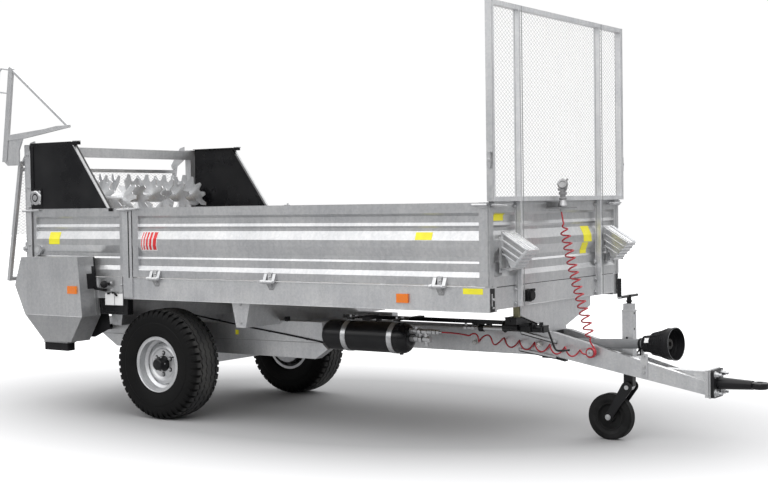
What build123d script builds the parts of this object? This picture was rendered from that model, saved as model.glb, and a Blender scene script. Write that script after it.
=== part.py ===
"""Single-axle manure spreader with a front mesh guard, drop sides, two cross beaters and a rear mesh gate.

Millimetres. +X points forward along the drawbar, +Y to the left, +Z up, and the ground is Z = 0.
Every X below is measured from the wheel axle; publish() moves each piece so that the origin
lies on the ground under the middle of the whole machine.
"""
from build123d import *
from math import atan2, cos, degrees, hypot, pi, radians, sin
import os

# ---------------------------------------------------------------- driving sizes
# wheels: 11.5/80-15.3 implement tyres
TYRE_RADIUS = 422.5
TYRE_WIDTH = 290.0
TRACK = 1605.0
RIM_SEAT_RADIUS = 194.0
RIM_FLANGE_RADIUS = 213.0
RIM_WIDTH = 240.0
HUB_RADIUS = 62.0
SPINDLE_RADIUS = 30.0
RUNNING_GAP = 0.08

# load box
BOX_FRONT_X = 2954.0
BOX_REAR_X = -1293.0
BOARD_OUTER_Y = 978.0
BOARD_RIB = 28.0
BOARD_BACK = 20.0
BOARD_BOTTOM_Z = 1090.0
BOARD_TOP_Z = 1621.0
MID_POST_X = -236.0
MID_POST_LENGTH = 96.0
CORNER_GAP = 6.0
HINGE_Y = 997.0
HINGE_Z = 1083.0
HINGE_PIN_RADIUS = 7.0
HINGE_LUG_RADIUS = 12.0
HINGE_LUG_LENGTH = 40.0
HINGE_SPOTS = (60.0, 1175.0, 2595.0)

# floor frame
RAIL_OUTER_Y = 970.0
RAIL_WIDTH = 98.0
RAIL_BOTTOM_Z = 920.0
RAIL_TOP_Z = 1080.0
FLOOR_TOP_Z = 1045.0
FLOOR_THICKNESS = 36.0
STRAND_Y = 620.0
SLAT_REACH = 850.0
BEARER_HALF = 30.0
FRONT_BEAM_DEPTH = 90.0
FRONT_BEAM_BOTTOM_Z = 938.0
SHEET = 5.0

# chassis below the floor frame
CHASSIS_OUTER_Y = 500.0
CHASSIS_INNER_Y = 420.0
CHASSIS_BOTTOM_Z = 485.0
CHASSIS_TOP_Z = 757.0
CHASSIS_REAR_X = -1120.0
CHASSIS_TAIL_Z = 640.0
CHASSIS_TAIL_LENGTH = 260.0
CHASSIS_SIDE_Z = CHASSIS_TOP_Z - 42.0
OUTRIGGER_X = (824.0, -446.0)
OUTRIGGER_TOP = 174.0
OUTRIGGER_FOOT = 90.0
OUTRIGGER_INSET = 72.0
CROSS_MEMBER = 90.0
CHASSIS_NOSE_X = 1310.0
AXLE_TUBE = 90.0

# drive line under the floor
DRIVE_LINE_Z = 640.0
DRIVE_LINE_RADIUS = 26.0
CROSS_SHAFT_X = -930.0
CROSS_SHAFT_RADIUS = 22.0

# drawbar
DRAW_REAR_X = 600.0
DRAW_BEND_X = BOX_FRONT_X + 21.0
DRAW_SLOPE_LENGTH = 1069.0
DRAW_HEAD_X = DRAW_BEND_X + DRAW_SLOPE_LENGTH
DRAW_Z = (565.0, 728.0)
DRAW_HEAD_Z = (360.0, 447.0)
DRAW_Y = 145.0
DRAW_HEAD_Y = 82.0
DRAW_WIDTH = 48.0
TIE_DEPTH = 13.0
HEAD_PLATE_Z = (345.0, 522.0)
HEAD_PLATE_Y = 100.0
HEAD_PLATE_THICKNESS = 20.0
TOW_AXIS_Z = 432.0
TOW_FLANGE_THICKNESS = 34.0
TOW_EYE_HOLE_RADIUS = 20.0
TOW_EYE_RADIUS = 57.0
TOW_EYE_THICKNESS = 44.0
TOW_EYE_REACH = 327.0
TOW_EYE_X = DRAW_HEAD_X + TOW_EYE_REACH

# propeller shaft
PTO_REAR = (BOX_FRONT_X + 58.0, 0.0, 640.0)
PTO_FRONT = (DRAW_HEAD_X - 412.0, -97.0, 674.0)
PTO_TUBE_RADIUS = 33.0
SPIGOT_RADIUS = 8.0
SPIGOT_LENGTH = 14.0
PTO_SHAFT_RADIUS = 22.0
PTO_BORE_RADIUS = 17.5
PTO_BORE_LENGTH = 76.0
PTO_CONE_LENGTH = 235.0
PTO_CONE_RADIUS = 106.0

# jack and jockey wheel
JACK_SETBACK = 567.0
JACK_X = DRAW_HEAD_X - JACK_SETBACK
JACK_Y = 0.0
JACK_TUBE_X = 76.0
JACK_TUBE_Y = 64.0
JACK_WALL = 5.0
JACK_TOP_Z = 888.0
JACK_BOTTOM_Z = 560.0
LEG_TOP_Z = 930.0
LEG_CLEARANCE = 0.5
JOCKEY_PIVOT_Z = 368.0
JOCKEY_RADIUS = 158.0
JOCKEY_WIDTH = 86.0
JOCKEY_TRAIL = 135.0
JOCKEY_PIN_RADIUS = 12.0

# front guard above the front wall
GUARD_TOP_Z = 2903.0
GUARD_BOTTOM_Z = 1630.0
GUARD_HALF_WIDTH = 978.0
MESH_THICKNESS = 2.0
GUARD_DEPTH = 45.0
GUARD_BAR = 30.0
GUARD_POST_Y = 600.0
GUARD_POST_WIDTH = 40.0
GUARD_POST_DEPTH = 32.0

# beater head at the rear
CHEEK_FOOT_X = -439.0
CHEEK_TOP_X = -829.0
CHEEK_REAR_X = -1308.0
CHEEK_TOP_Z = 2152.0
CHEEK_THICKNESS = 6.0
REAR_POST_REAR_X = -1377.0
REAR_POST_DEPTH = 66.0
REAR_POST_WIDTH = 60.0
REAR_POST_TOP_Z = 2143.0
CROSSBAR_Z = (2055.0, 2135.0)
BEATER_X = -1247.0
BEATER_UPPER_Z = 1712.0
BEATER_PITCH_Z = 422.0
BEATER_TIP_RADIUS = 203.0
BEATER_TUBE_RADIUS = 45.0
BEATER_HALF_LENGTH = 905.0
BEATER_SHAFT_RADIUS = 22.0
BEATER_BEARING_RADIUS = 44.0

# rear gate
GATE_PIVOT_X = -1500.0
GATE_PIVOT_Z = 2000.0
GATE_LEAN = 10.2
GATE_HALF_WIDTH = 931.0
GATE_LENGTH = 985.0
GATE_BAR = 30.0
GATE_BAR_DROP = 34.0
GATE_PIN_RADIUS = 9.0
GATE_EAR_Y = 888.0
GATE_LEVER_Y = 1014.0
GATE_LEVER_THICKNESS = 24.0

# side drives
DRIVE_OUTER_Y = 1165.0
DRIVE_SHEET = 4.0

# air brake tank
TANK_RADIUS = 107.0
TANK_X = (1395.0, 2118.0)
TANK_Y = 612.0
TANK_Z = 689.0
TANK_DOME = 60.0
TANK_UNION_Z = 742.0
BRAKE_Y = 306.0
BRAKE_BAR_Z = (783.0, 809.0)
BRAKE_BODY_Z = (742.0, 812.0)
BRAKE_POST_FRONT_X = BOX_FRONT_X - 30.0
BRAKE_POST_FOOT_Z = 855.0

# air hose
HOSE_RADIUS = 5.5
HOSE_COIL_RADIUS = 36.0
HOSE_WAVE_RADIUS = 34.0

REAR_TIP_X = -1722.0
FRONT_TIP_X = TOW_EYE_X + TOW_EYE_RADIUS
AXLE_SHIFT = -(REAR_TIP_X + FRONT_TIP_X) / 2


# ---------------------------------------------------------------- small tools
def block(x, y, z):
    """A box between two limits on each axis."""
    (x0, x1), (y0, y1), (z0, z1) = sorted(x), sorted(y), sorted(z)
    return Pos((x0 + x1) / 2, (y0 + y1) / 2, (z0 + z1) / 2) * Box(x1 - x0, y1 - y0, z1 - z0)


def plate_xz(points, y0, y1):
    """An outline of (x, z) points drawn out from y0 to y1."""
    face = make_face(Polyline(*[(x, y0, z) for x, z in points], close=True))
    return extrude(face, amount=y1 - y0, dir=(0, 1, 0))


def plate_yz(points, x0, x1):
    """An outline of (y, z) points drawn out from x0 to x1."""
    face = make_face(Polyline(*[(x0, y, z) for y, z in points], close=True))
    return extrude(face, amount=x1 - x0, dir=(1, 0, 0))


def plate_xy(points, z0, z1):
    """An outline of (x, y) points drawn out from z0 to z1."""
    face = make_face(Polyline(*[(x, y, z0) for x, y in points], close=True))
    return extrude(face, amount=z1 - z0, dir=(0, 0, 1))


def rod(start, end, radius):
    """A round bar between two points."""
    start, end = Vector(*start), Vector(*end)
    along = end - start
    plane = Plane(origin=start, z_dir=along)
    return extrude(plane * Circle(radius), amount=along.length)


def pipe(start, end, outer, inner):
    """A round tube between two points."""
    return rod(start, end, outer) - rod(start, end, inner)


def turned(points, centre):
    """A ring about the Y direction through centre, from (y, radius) points."""
    x, y, z = centre
    face = make_face(Polyline(*[(x, y + dy, z + r) for dy, r in points], close=True))
    return revolve(face, axis=Axis((x, y, z), (0, 1, 0)))


def left_of(shape):
    """The same piece on the left side."""
    return mirror(shape, about=Plane.XZ)


def pair(shape):
    """The piece and its left-hand twin, as separate solids of one node."""
    return Compound(children=[*shape.solids(), *left_of(shape).solids()])


def joined(pieces):
    """One solid from pieces that touch."""
    whole = pieces[0]
    for piece in pieces[1:]:
        whole = whole + piece
    return whole


def publish(node, shape):
    """Write one piece, with the origin moved under the middle of the machine."""
    solids = [Pos(AXLE_SHIFT, 0, 0) * solid for solid in shape.solids()]
    export_step(solids[0] if len(solids) == 1 else Compound(children=solids), f"parts/{node}.step")


# ---------------------------------------------------------------- wheels
def tyre(side):
    half = TYRE_WIDTH / 2
    groove = 12.0
    # distance from the tyre's middle as a share of half its width, and radius
    crown = [
        (-0.70, RIM_SEAT_RADIUS),
        (-0.86, RIM_SEAT_RADIUS + 40.0),
        (-1.00, TYRE_RADIUS - 105.0),
        (-0.97, TYRE_RADIUS - 52.0),
        (-0.84, TYRE_RADIUS - 12.0),
        (-0.62, TYRE_RADIUS - 4.0),
    ]
    ribs = [(-0.48, 0.0), (-0.44, groove), (-0.32, groove), (-0.28, 0.0), (-0.10, 0.0), (-0.06, groove)]
    right = [(share * half, r) for share, r in crown]
    right += [(share * half, TYRE_RADIUS - depth) for share, depth in ribs]
    left = [(-y, r) for y, r in reversed(right)]
    return turned(right + left, (0, side * TRACK / 2, TYRE_RADIUS))


def rim(side):
    seat, flange = RIM_SEAT_RADIUS, RIM_FLANGE_RADIUS
    half = RIM_WIDTH / 2
    wall = 6.0
    disc_y = 30.0
    centre = (0, side * TRACK / 2, TYRE_RADIUS)
    # offset outwards from the wheel's middle, and radius
    section = [
        (-half, flange), (-half, seat - wall), (-60, seat - wall), (-45, seat - 26), (45, seat - 26),
        (60, seat - wall), (half, seat - wall), (half, flange), (half - wall, flange),
        (half - wall, seat), (65, seat), (50, seat - 20), (-50, seat - 20), (-65, seat), (-half + wall, seat),
        (-half + wall, flange),
    ]
    disc = [
        (disc_y, seat - 26), (disc_y + 10, seat - 26), (disc_y + 34, 130), (disc_y + 22, 108),
        (disc_y + 22, HUB_RADIUS + 0.0), (disc_y + 12, HUB_RADIUS + 0.0), (disc_y + 12, 112), (disc_y + 24, 132),
    ]
    barrel = turned([(side * y, r) for y, r in section], centre)
    dish = turned([(side * y, r) for y, r in disc], centre)
    return barrel + dish


def hub(side):
    """Hub, its flange behind the rim's disc, brake drum and cap; it runs on the axle's spindle."""
    centre = (0, side * TRACK / 2, TYRE_RADIUS)
    bore = SPINDLE_RADIUS + RUNNING_GAP
    # offset outwards from the wheel's middle, and radius
    section = [
        (-118, bore), (-118, 150), (-34, 150), (-34, 100), (10, 90), (22, 104), (41.7, 104), (41.7, HUB_RADIUS - 0.3),
        (88, HUB_RADIUS - 8), (96, 44), (122, 40), (128, 30), (128, 0), (112, 0), (112, bore),
    ]
    body = turned([(side * y, r) for y, r in section], centre)
    return body


def axle():
    """Square beam with a round spindle at each end and a brake back plate beside each drum."""
    z = TYRE_RADIUS
    spindle_root = TRACK / 2 - 135
    half = AXLE_TUBE / 2
    beam = block((-half, half), (-spindle_root, spindle_root), (z - half, z + half))
    parts = [beam]
    for side in (-1, 1):
        end = side * (TRACK / 2 + 108)
        parts.append(rod((0, side * (spindle_root - 5), z), (0, end, z), SPINDLE_RADIUS))
        parts.append(rod((0, side * (spindle_root - 14), z), (0, side * (spindle_root + 8), z), 148))
    return joined(parts)


# ---------------------------------------------------------------- chassis
def chassis_frame():
    """Two deep lower beams with a pointed nose, cross members and outriggers to the floor frame."""
    nose = CHASSIS_NOSE_X
    neck = nose - 46
    fore_arm = OUTRIGGER_X[0]
    outline = [
        (CHASSIS_REAR_X, CHASSIS_TAIL_Z), (CHASSIS_REAR_X + CHASSIS_TAIL_LENGTH, CHASSIS_BOTTOM_Z),
        (nose - 112, CHASSIS_BOTTOM_Z), (nose, CHASSIS_BOTTOM_Z + 75), (neck, CHASSIS_BOTTOM_Z + 118),
        (neck, CHASSIS_TOP_Z), (fore_arm, CHASSIS_TOP_Z), (fore_arm - 300, CHASSIS_SIDE_Z),
        (CHASSIS_REAR_X, CHASSIS_SIDE_Z),
    ]
    beam = plate_xz(outline, -CHASSIS_OUTER_Y, -CHASSIS_INNER_Y)
    parts = [beam, left_of(beam)]
    reach = CHASSIS_INNER_Y + 5
    half = CROSS_MEMBER / 2
    # middle of each cross member, and its height span
    members = [
        (CHASSIS_REAR_X + half + 5, 590, 710), (CHASSIS_REAR_X + 560, 560, 700),
        (DRAW_REAR_X - half, 560, 710), (nose - 120, 560, 740),
    ]
    for x, low, high in members:
        parts.append(block((x - half, x + half), (-reach, reach), (low, high)))
    arm_reach = RAIL_OUTER_Y - OUTRIGGER_INSET
    for x, beam_top in zip(OUTRIGGER_X, (CHASSIS_TOP_Z - 12, CHASSIS_SIDE_Z)):
        foot_z = beam_top - 10
        top, foot = OUTRIGGER_TOP / 2, OUTRIGGER_FOOT / 2
        arm = [(x - top, RAIL_BOTTOM_Z), (x + top, RAIL_BOTTOM_Z), (x + foot, foot_z), (x - foot, foot_z)]
        parts.append(plate_xz(arm, -arm_reach, arm_reach))
    # saddles that carry the beams on the axle
    seat = TYRE_RADIUS + AXLE_TUBE / 2
    for side in (-1, 1):
        y = side * (CHASSIS_OUTER_Y + CHASSIS_INNER_Y) / 2
        parts.append(block((-70, 70), (y - 40, y + 40), (seat, CHASSIS_BOTTOM_Z + 10)))
    frame = joined(parts)
    drive_way = rod((CHASSIS_REAR_X, 0, DRIVE_LINE_Z), (CHASSIS_NOSE_X, 0, DRIVE_LINE_Z), (
        DRIVE_LINE_RADIUS + 6))
    cross_way = rod(
        (CROSS_SHAFT_X, -RAIL_OUTER_Y, DRIVE_LINE_Z), (CROSS_SHAFT_X, RAIL_OUTER_Y, DRIVE_LINE_Z),
        CROSS_SHAFT_RADIUS + 1)
    draw_way = block((DRAW_REAR_X, nose), (-DRAW_Y, -DRAW_Y + DRAW_WIDTH), DRAW_Z)
    return frame - drive_way - cross_way - draw_way - left_of(draw_way)


def floor_frame():
    """Side rails, front and rear beams and the cross bearers that the floor lies on."""
    inner = RAIL_OUTER_Y - RAIL_WIDTH
    front = BOX_FRONT_X
    bearer_top = FLOOR_TOP_Z - FLOOR_THICKNESS
    rail = block((BOX_REAR_X - 84, front), (-RAIL_OUTER_Y, -inner), (RAIL_BOTTOM_Z, RAIL_TOP_Z))
    channel = block((BOX_REAR_X - 84 + SHEET, front - SHEET), (-RAIL_OUTER_Y + SHEET, -inner), (
        RAIL_BOTTOM_Z + SHEET, RAIL_TOP_Z - SHEET))
    rail = rail - channel
    parts = [rail, left_of(rail)]
    cross = [(front - FRONT_BEAM_DEPTH, front, RAIL_TOP_Z), (BOX_REAR_X - 84, BOX_REAR_X - 4, bearer_top)]
    for x0, x1, top in cross:
        parts.append(block((x0, x1), (-inner - SHEET, inner + SHEET), (FRONT_BEAM_BOTTOM_Z, top)))
    count = 7
    for i in range(count):
        x = BOX_REAR_X + 300 + i * (front - BOX_REAR_X - 700) / (count - 1)
        parts.append(block((x - BEARER_HALF, x + BEARER_HALF), (-RAIL_OUTER_Y + 2, RAIL_OUTER_Y - 2), (
            RAIL_BOTTOM_Z + 2, bearer_top)))
    return joined(parts)


def front_gusset():
    """Plate that seats the front beam on the drawbar."""
    z = FRONT_BEAM_BOTTOM_Z
    foot = DRAW_Z[1]
    outline = [
        (-520, z), (520, z), (520, z - 72), (130, z - 186), (130, foot), (-130, foot), (-130, z - 186),
        (-520, z - 72),
    ]
    return plate_yz(outline, BOX_FRONT_X - 26, BOX_FRONT_X - 14)


def draw_outer_y(x):
    """Distance of the drawbar's outer face from the middle."""
    share = max(0.0, (x - DRAW_BEND_X) / (DRAW_HEAD_X - DRAW_BEND_X))
    return DRAW_Y + (DRAW_HEAD_Y - DRAW_Y) * share


def drawbar():
    """Two narrow beams that run forward under the floor, then slope in and down to the head plate."""
    low, high = DRAW_Z
    straight = block((DRAW_REAR_X, DRAW_BEND_X), (-DRAW_Y, -DRAW_Y + DRAW_WIDTH), DRAW_Z)

    def section(x, outer, z0, z1):
        inner = outer - DRAW_WIDTH
        corners = [(-outer, z0), (-inner, z0), (-inner, z1), (-outer, z1)]
        return Face(Wire.make_polygon([Vector(x, y, z) for y, z in corners]))

    slope = loft([
        section(DRAW_BEND_X, DRAW_Y, low, high),
        section(DRAW_HEAD_X, DRAW_HEAD_Y, *DRAW_HEAD_Z)], ruled=True)
    arm = straight + slope
    ahead = JACK_X + JACK_TUBE_X / 2
    width = draw_outer_y(ahead) - DRAW_WIDTH + 3
    bridge = block((ahead, ahead + 50), (-width, width), (500, 572))
    stiffener = plate_xz([
        (DRAW_HEAD_X - 300, DRAW_HEAD_Z[1] + 66), (DRAW_HEAD_X - 210, HEAD_PLATE_Z[1] - 14),
        (DRAW_HEAD_X, HEAD_PLATE_Z[1] - 16), (DRAW_HEAD_X, DRAW_HEAD_Z[0] + 20),
        (DRAW_HEAD_X - 300, DRAW_HEAD_Z[0] + 70)], -DRAW_HEAD_Y + DRAW_WIDTH - 2, DRAW_HEAD_Y - DRAW_WIDTH + 2)
    tie_reach = DRAW_Y - DRAW_WIDTH + 5
    ties = [
        block((x - 32, x + 32), (-tie_reach, tie_reach), (low, low + TIE_DEPTH))
        for x in (1400, 2200, 2923)]
    return joined([arm, left_of(arm), bridge, stiffener, *ties])


def drawbar_head():
    x = DRAW_HEAD_X
    return block((x, x + HEAD_PLATE_THICKNESS), (-HEAD_PLATE_Y, HEAD_PLATE_Y), HEAD_PLATE_Z)


def tow_eye():
    """Bolted flange, tapered shank and flat ring with its vertical pin hole."""
    x = DRAW_HEAD_X + HEAD_PLATE_THICKNESS
    z = TOW_AXIS_Z
    flange = block((x, x + TOW_FLANGE_THICKNESS), (-88, 88), (z - 92, z + 92))
    flange = fillet(flange.edges().filter_by(Axis.X), 20)
    plane = Plane(origin=(x + TOW_FLANGE_THICKNESS - 1, 0, z), z_dir=(1, 0, 0))
    length = TOW_EYE_X - TOW_EYE_RADIUS + 14 - plane.origin.X
    shank = extrude(plane * Circle(41), amount=length, taper=2.9)
    ring = Pos(TOW_EYE_X, 0, z) * Cylinder(TOW_EYE_RADIUS, TOW_EYE_THICKNESS)
    ring = fillet(ring.edges(), 14)
    hole = Pos(TOW_EYE_X, 0, z) * Cylinder(TOW_EYE_HOLE_RADIUS, TOW_EYE_THICKNESS + 2)
    return flange + shank + ring - hole


# ---------------------------------------------------------------- propeller shaft
PTO_AXIS = Vector(*PTO_FRONT) - Vector(*PTO_REAR)
PTO_LENGTH = PTO_AXIS.length


def pto_point(distance):
    """Point on the shaft's axis, this far from its rear end."""
    return Vector(*PTO_REAR) + PTO_AXIS.normalized() * distance


def pto_bearing():
    """Housing under the gusset, with the short stub that drives the shaft's joint."""
    x = BOX_FRONT_X
    z = PTO_REAR[2]
    body = block((x - 60, x - 4), (-70, 70), (DRAW_Z[0] + TIE_DEPTH, DRAW_Z[1]))
    stub = rod((x - 5, 0, z), (PTO_REAR[0] - 8, 0, z), 20)
    yoke = rod((x + 14, 0, z), (PTO_REAR[0] - 8, 0, z), 32)
    spigot = rod(pto_point(-20), pto_point(SPIGOT_LENGTH), SPIGOT_RADIUS)
    return joined([body, stub, yoke, spigot])


def drive_line():
    """Shaft under the floor, from the front bearing to the rear gearbox."""
    z = DRIVE_LINE_Z
    return rod((CROSS_SHAFT_X + 80, 0, z), (BOX_FRONT_X - 60, 0, z), DRIVE_LINE_RADIUS)


def rear_gearbox():
    """Right-angle gearbox with its cross shaft to both side drives."""
    x, z = CROSS_SHAFT_X, DRIVE_LINE_Z
    case = block((x - 95, x + 80), (-95, 95), (z - 80, z + 74))
    reach = RAIL_OUTER_Y + 60
    shaft = rod((x, -reach, z), (x, reach, z), CROSS_SHAFT_RADIUS)
    return case + shaft


def pto_guard_tube():
    return pipe(pto_point(14), pto_point(PTO_LENGTH), PTO_TUBE_RADIUS, PTO_TUBE_RADIUS - 4)


def pto_cone():
    """Bell-shaped guard, open to the front, with its collar on the tube."""
    plane = Plane(origin=pto_point(PTO_LENGTH), z_dir=PTO_AXIS)
    r = PTO_TUBE_RADIUS
    wall = 4.0
    # distance forward and radius, outside then back along the inside
    outside = [(0, r + 18), (52, r + 22), (70, r + 38), (130, r + 50), (185, PTO_CONE_RADIUS - 4)]
    outside.append((PTO_CONE_LENGTH, PTO_CONE_RADIUS))
    inside = [(a, radius - wall) for a, radius in reversed(outside[1:])]
    section = [(0, r - 4)] + outside + inside + [(wall, r - 4)]
    face = make_face(Polyline(*[(radius, 0, a) for a, radius in section], close=True))
    return plane * revolve(face, axis=Axis.Z)


def pto_shaft():
    """Turning shaft with a yoke whose bore takes the tractor's stub."""
    yoke_start = PTO_LENGTH + 40
    yoke_end = yoke_start + 150
    parts = [
        rod(pto_point(0), pto_point(yoke_start + 4), PTO_SHAFT_RADIUS),
        rod(pto_point(yoke_start), pto_point(yoke_end), 34),
    ]
    body = joined(parts)
    body = body - rod(pto_point(-5), pto_point(SPIGOT_LENGTH + 4), SPIGOT_RADIUS + RUNNING_GAP)
    return body - rod(pto_point(yoke_end - PTO_BORE_LENGTH), pto_point(yoke_end + 5), PTO_BORE_RADIUS)


def pto_bracket():
    """Flat strip on the right drawbar beam, with the cradle that the shaft's guard rests on."""
    distance = PTO_LENGTH - 18
    x, y, z = pto_point(distance)
    face = draw_outer_y(x)
    top = 608.0
    strip = block((x - 10, x + 40), (-face - 6, -face + 4), (450, top))
    shelf = block((x - 10, x + 10), (-face - 6, y + 10), (top - 6, top))
    post = block((x - 8, x + 8), (y - 10, y + 10), (top - 1, z - PTO_TUBE_RADIUS + 4))
    shape = joined([strip, shelf, post])
    return shape - drawbar() - rod(pto_point(0), pto_point(PTO_LENGTH + 50), PTO_TUBE_RADIUS)


# ---------------------------------------------------------------- jack and jockey wheel
def jack_tube():
    x, y = JACK_X, JACK_Y
    half_x, half_y = JACK_TUBE_X / 2, JACK_TUBE_Y / 2
    body = block((x - half_x, x + half_x), (y - half_y, y + half_y), (JACK_BOTTOM_Z, JACK_TOP_Z))
    half_x, half_y = half_x - JACK_WALL, half_y - JACK_WALL
    return body - block((x - half_x, x + half_x), (y - half_y, y + half_y), (
        JACK_BOTTOM_Z - 1, JACK_TOP_Z + 1))


def jack_leg():
    """Inner tube with the cranked screw's head on top and the pivot head below."""
    x, y = JACK_X, JACK_Y
    half_x = JACK_TUBE_X / 2 - JACK_WALL - LEG_CLEARANCE
    half_y = JACK_TUBE_Y / 2 - JACK_WALL - LEG_CLEARANCE
    leg = block((x - half_x, x + half_x), (y - half_y, y + half_y), (JOCKEY_PIVOT_Z + 30, LEG_TOP_Z))
    stem = rod((x, y, LEG_TOP_Z - 2), (x, y, LEG_TOP_Z + 56), 14)
    arm = rod((x, y - 160, LEG_TOP_Z + 46), (x, y + 100, LEG_TOP_Z + 54), 7)
    grip = rod((x, y - 155, LEG_TOP_Z + 42), (x, y - 155, LEG_TOP_Z + 176), 13)
    head = block((x - half_x, x + half_x), (y - half_y, y + half_y), (
        JOCKEY_PIVOT_Z + 2, JOCKEY_PIVOT_Z + 40))
    lug = rod((x, y - half_y, JOCKEY_PIVOT_Z), (x, y + half_y, JOCKEY_PIVOT_Z), 26)
    bore = rod((x, y - 99, JOCKEY_PIVOT_Z), (x, y + 99, JOCKEY_PIVOT_Z), JOCKEY_PIN_RADIUS + RUNNING_GAP)
    return joined([leg, stem, arm, grip, head, lug]) - bore


def jockey_fork():
    """Two arms from the pivot pin down to the wheel's pin."""
    x, y, z = JACK_X, JACK_Y, JOCKEY_PIVOT_Z
    wheel_x, wheel_z = x - JOCKEY_TRAIL, JOCKEY_RADIUS
    inner = JOCKEY_WIDTH / 2 + 5
    arms = []
    for side in (-1, 1):
        y0, y1 = y + side * inner, y + side * (inner + 8)
        along = Vector(wheel_x - x, 0, wheel_z - z).normalized()
        across = Vector(-along.Z, 0, along.X)
        corners = [(x, z, 38), (x, z, -38), (wheel_x, wheel_z, -24), (wheel_x, wheel_z, 24)]
        outline = [(px + across.X * w, pz + across.Z * w) for px, pz, w in corners]
        arm = plate_xz(outline, min(y0, y1), max(y0, y1))
        arm = arm + rod((x, y0, z), (x, y1, z), 38) + rod((wheel_x, y0, wheel_z), (wheel_x, y1, wheel_z), 24)
        arms.append(arm)
    reach = inner + 12
    pivot = rod((x, y - reach, z), (x, y + reach, z), JOCKEY_PIN_RADIUS)
    pin = rod((wheel_x, y - reach, wheel_z), (wheel_x, y + reach, wheel_z), JOCKEY_PIN_RADIUS)
    return joined([*arms, pivot, pin])


def jockey_wheel():
    centre = (JACK_X - JOCKEY_TRAIL, JACK_Y, JOCKEY_RADIUS)
    half = JOCKEY_WIDTH / 2
    bore = JOCKEY_PIN_RADIUS + RUNNING_GAP
    rim_r = 92.0
    section = [
        (-half, bore), (-half, 34), (-16, 40), (-16, rim_r - 12), (-half + 12, rim_r), (-half + 2, rim_r + 26),
        (-half + 8, JOCKEY_RADIUS - 12), (-half + 24, JOCKEY_RADIUS),
    ]
    other = [(-y, r) for y, r in reversed(section)]
    return turned(section + other, centre)


# ---------------------------------------------------------------- load box
# height above the board's bottom edge, and how far the sheet stands out there
BOARD_STEPS = [
    (0, 28), (54, 28), (88, 12), (142, 12), (156, 4), (183, 4), (244, 28), (291, 28), (352, 4),
    (372, 4), (386, 14), (407, 6), (450, 6), (468, 28), (531, 28),
]


def board_outline(outer):
    """(across, z) outline of a ribbed board whose ribs reach outer."""
    height = BOARD_TOP_Z - BOARD_BOTTOM_Z
    scale = height / BOARD_STEPS[-1][0]
    base = outer - BOARD_RIB
    skin = [(base + out, BOARD_BOTTOM_Z + z * scale) for z, out in BOARD_STEPS]
    back = base - BOARD_BACK
    return skin + [(back, BOARD_TOP_Z), (back, BOARD_BOTTOM_Z)]


def side_board(x0, x1):
    """Right-hand ribbed board between two X positions."""
    return plate_yz([(-y, z) for y, z in board_outline(BOARD_OUTER_Y)], x0, x1)


def drop_board():
    """Right-hand drop side: the ribbed board with its hinge straps and pins."""
    board = side_board(MID_POST_X + MID_POST_LENGTH / 2 + CORNER_GAP, BOX_FRONT_X - 1)
    parts = [board]
    half = HINGE_LUG_LENGTH / 2
    for x in HINGE_SPOTS:
        reach = half + 34
        parts.append(rod((x - reach, -HINGE_Y, HINGE_Z), (x + reach, -HINGE_Y, HINGE_Z), HINGE_PIN_RADIUS))
        for x0, x1 in [(x - half - 32, x - half - 6), (x + half + 6, x + half + 32)]:
            strap = plate_yz([
                (-BOARD_OUTER_Y + 2, BOARD_BOTTOM_Z + 50), (-BOARD_OUTER_Y - 6, BOARD_BOTTOM_Z + 50),
                (-HINGE_Y - 9, HINGE_Z + 6), (-HINGE_Y - 9, HINGE_Z - 9), (-BOARD_OUTER_Y - 8, HINGE_Z - 9),
                (-BOARD_OUTER_Y - 8, BOARD_BOTTOM_Z + 4), (-BOARD_OUTER_Y + 2, BOARD_BOTTOM_Z + 6)], x0, x1)
            parts.append(strap)
    return joined(parts)


def board_hinges():
    """Lugs on both side rails that carry the drop sides' hinge pins."""
    half = HINGE_LUG_LENGTH / 2
    lugs = []
    for x in HINGE_SPOTS:
        arm = plate_yz([
            (-RAIL_OUTER_Y, HINGE_Z - 8), (-RAIL_OUTER_Y, HINGE_Z - 60), (-HINGE_Y - 4, HINGE_Z - 14),
            (-HINGE_Y + 4, HINGE_Z + 4), (-HINGE_Y + 12, HINGE_Z - 8)], x - half, x + half)
        knuckle = rod((x - half, -HINGE_Y, HINGE_Z), (x + half, -HINGE_Y, HINGE_Z), HINGE_LUG_RADIUS)
        bore = rod((x - 99, -HINGE_Y, HINGE_Z), (x + 99, -HINGE_Y, HINGE_Z), HINGE_PIN_RADIUS + RUNNING_GAP)
        lug = arm + knuckle - bore
        lugs += [*lug.solids(), *left_of(lug).solids()]
    return Compound(children=lugs)


def rear_board():
    """Fixed right-hand board behind the post; it carries the lower beater's bearing."""
    x, z = BEATER_X, BEATER_UPPER_Z - BEATER_PITCH_Z
    inner = BOARD_OUTER_Y - BOARD_RIB - BOARD_BACK
    board = side_board(BOX_REAR_X, MID_POST_X - MID_POST_LENGTH / 2)
    boss = rod((x, -inner - 5, z), (x, -BOARD_OUTER_Y - 8, z), BEATER_BEARING_RADIUS - 4)
    bore = rod((x, -inner + 20, z), (x, -BOARD_OUTER_Y - 20, z), BEATER_SHAFT_RADIUS + RUNNING_GAP)
    return board + boss - bore


def front_wall():
    half = BOARD_OUTER_Y - BOARD_RIB - BOARD_BACK - CORNER_GAP
    outline = board_outline(BOX_FRONT_X)
    bottom = [(x, z if z > BOARD_BOTTOM_Z else RAIL_TOP_Z) for x, z in outline]
    return plate_xz(bottom, -half, half)


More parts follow.
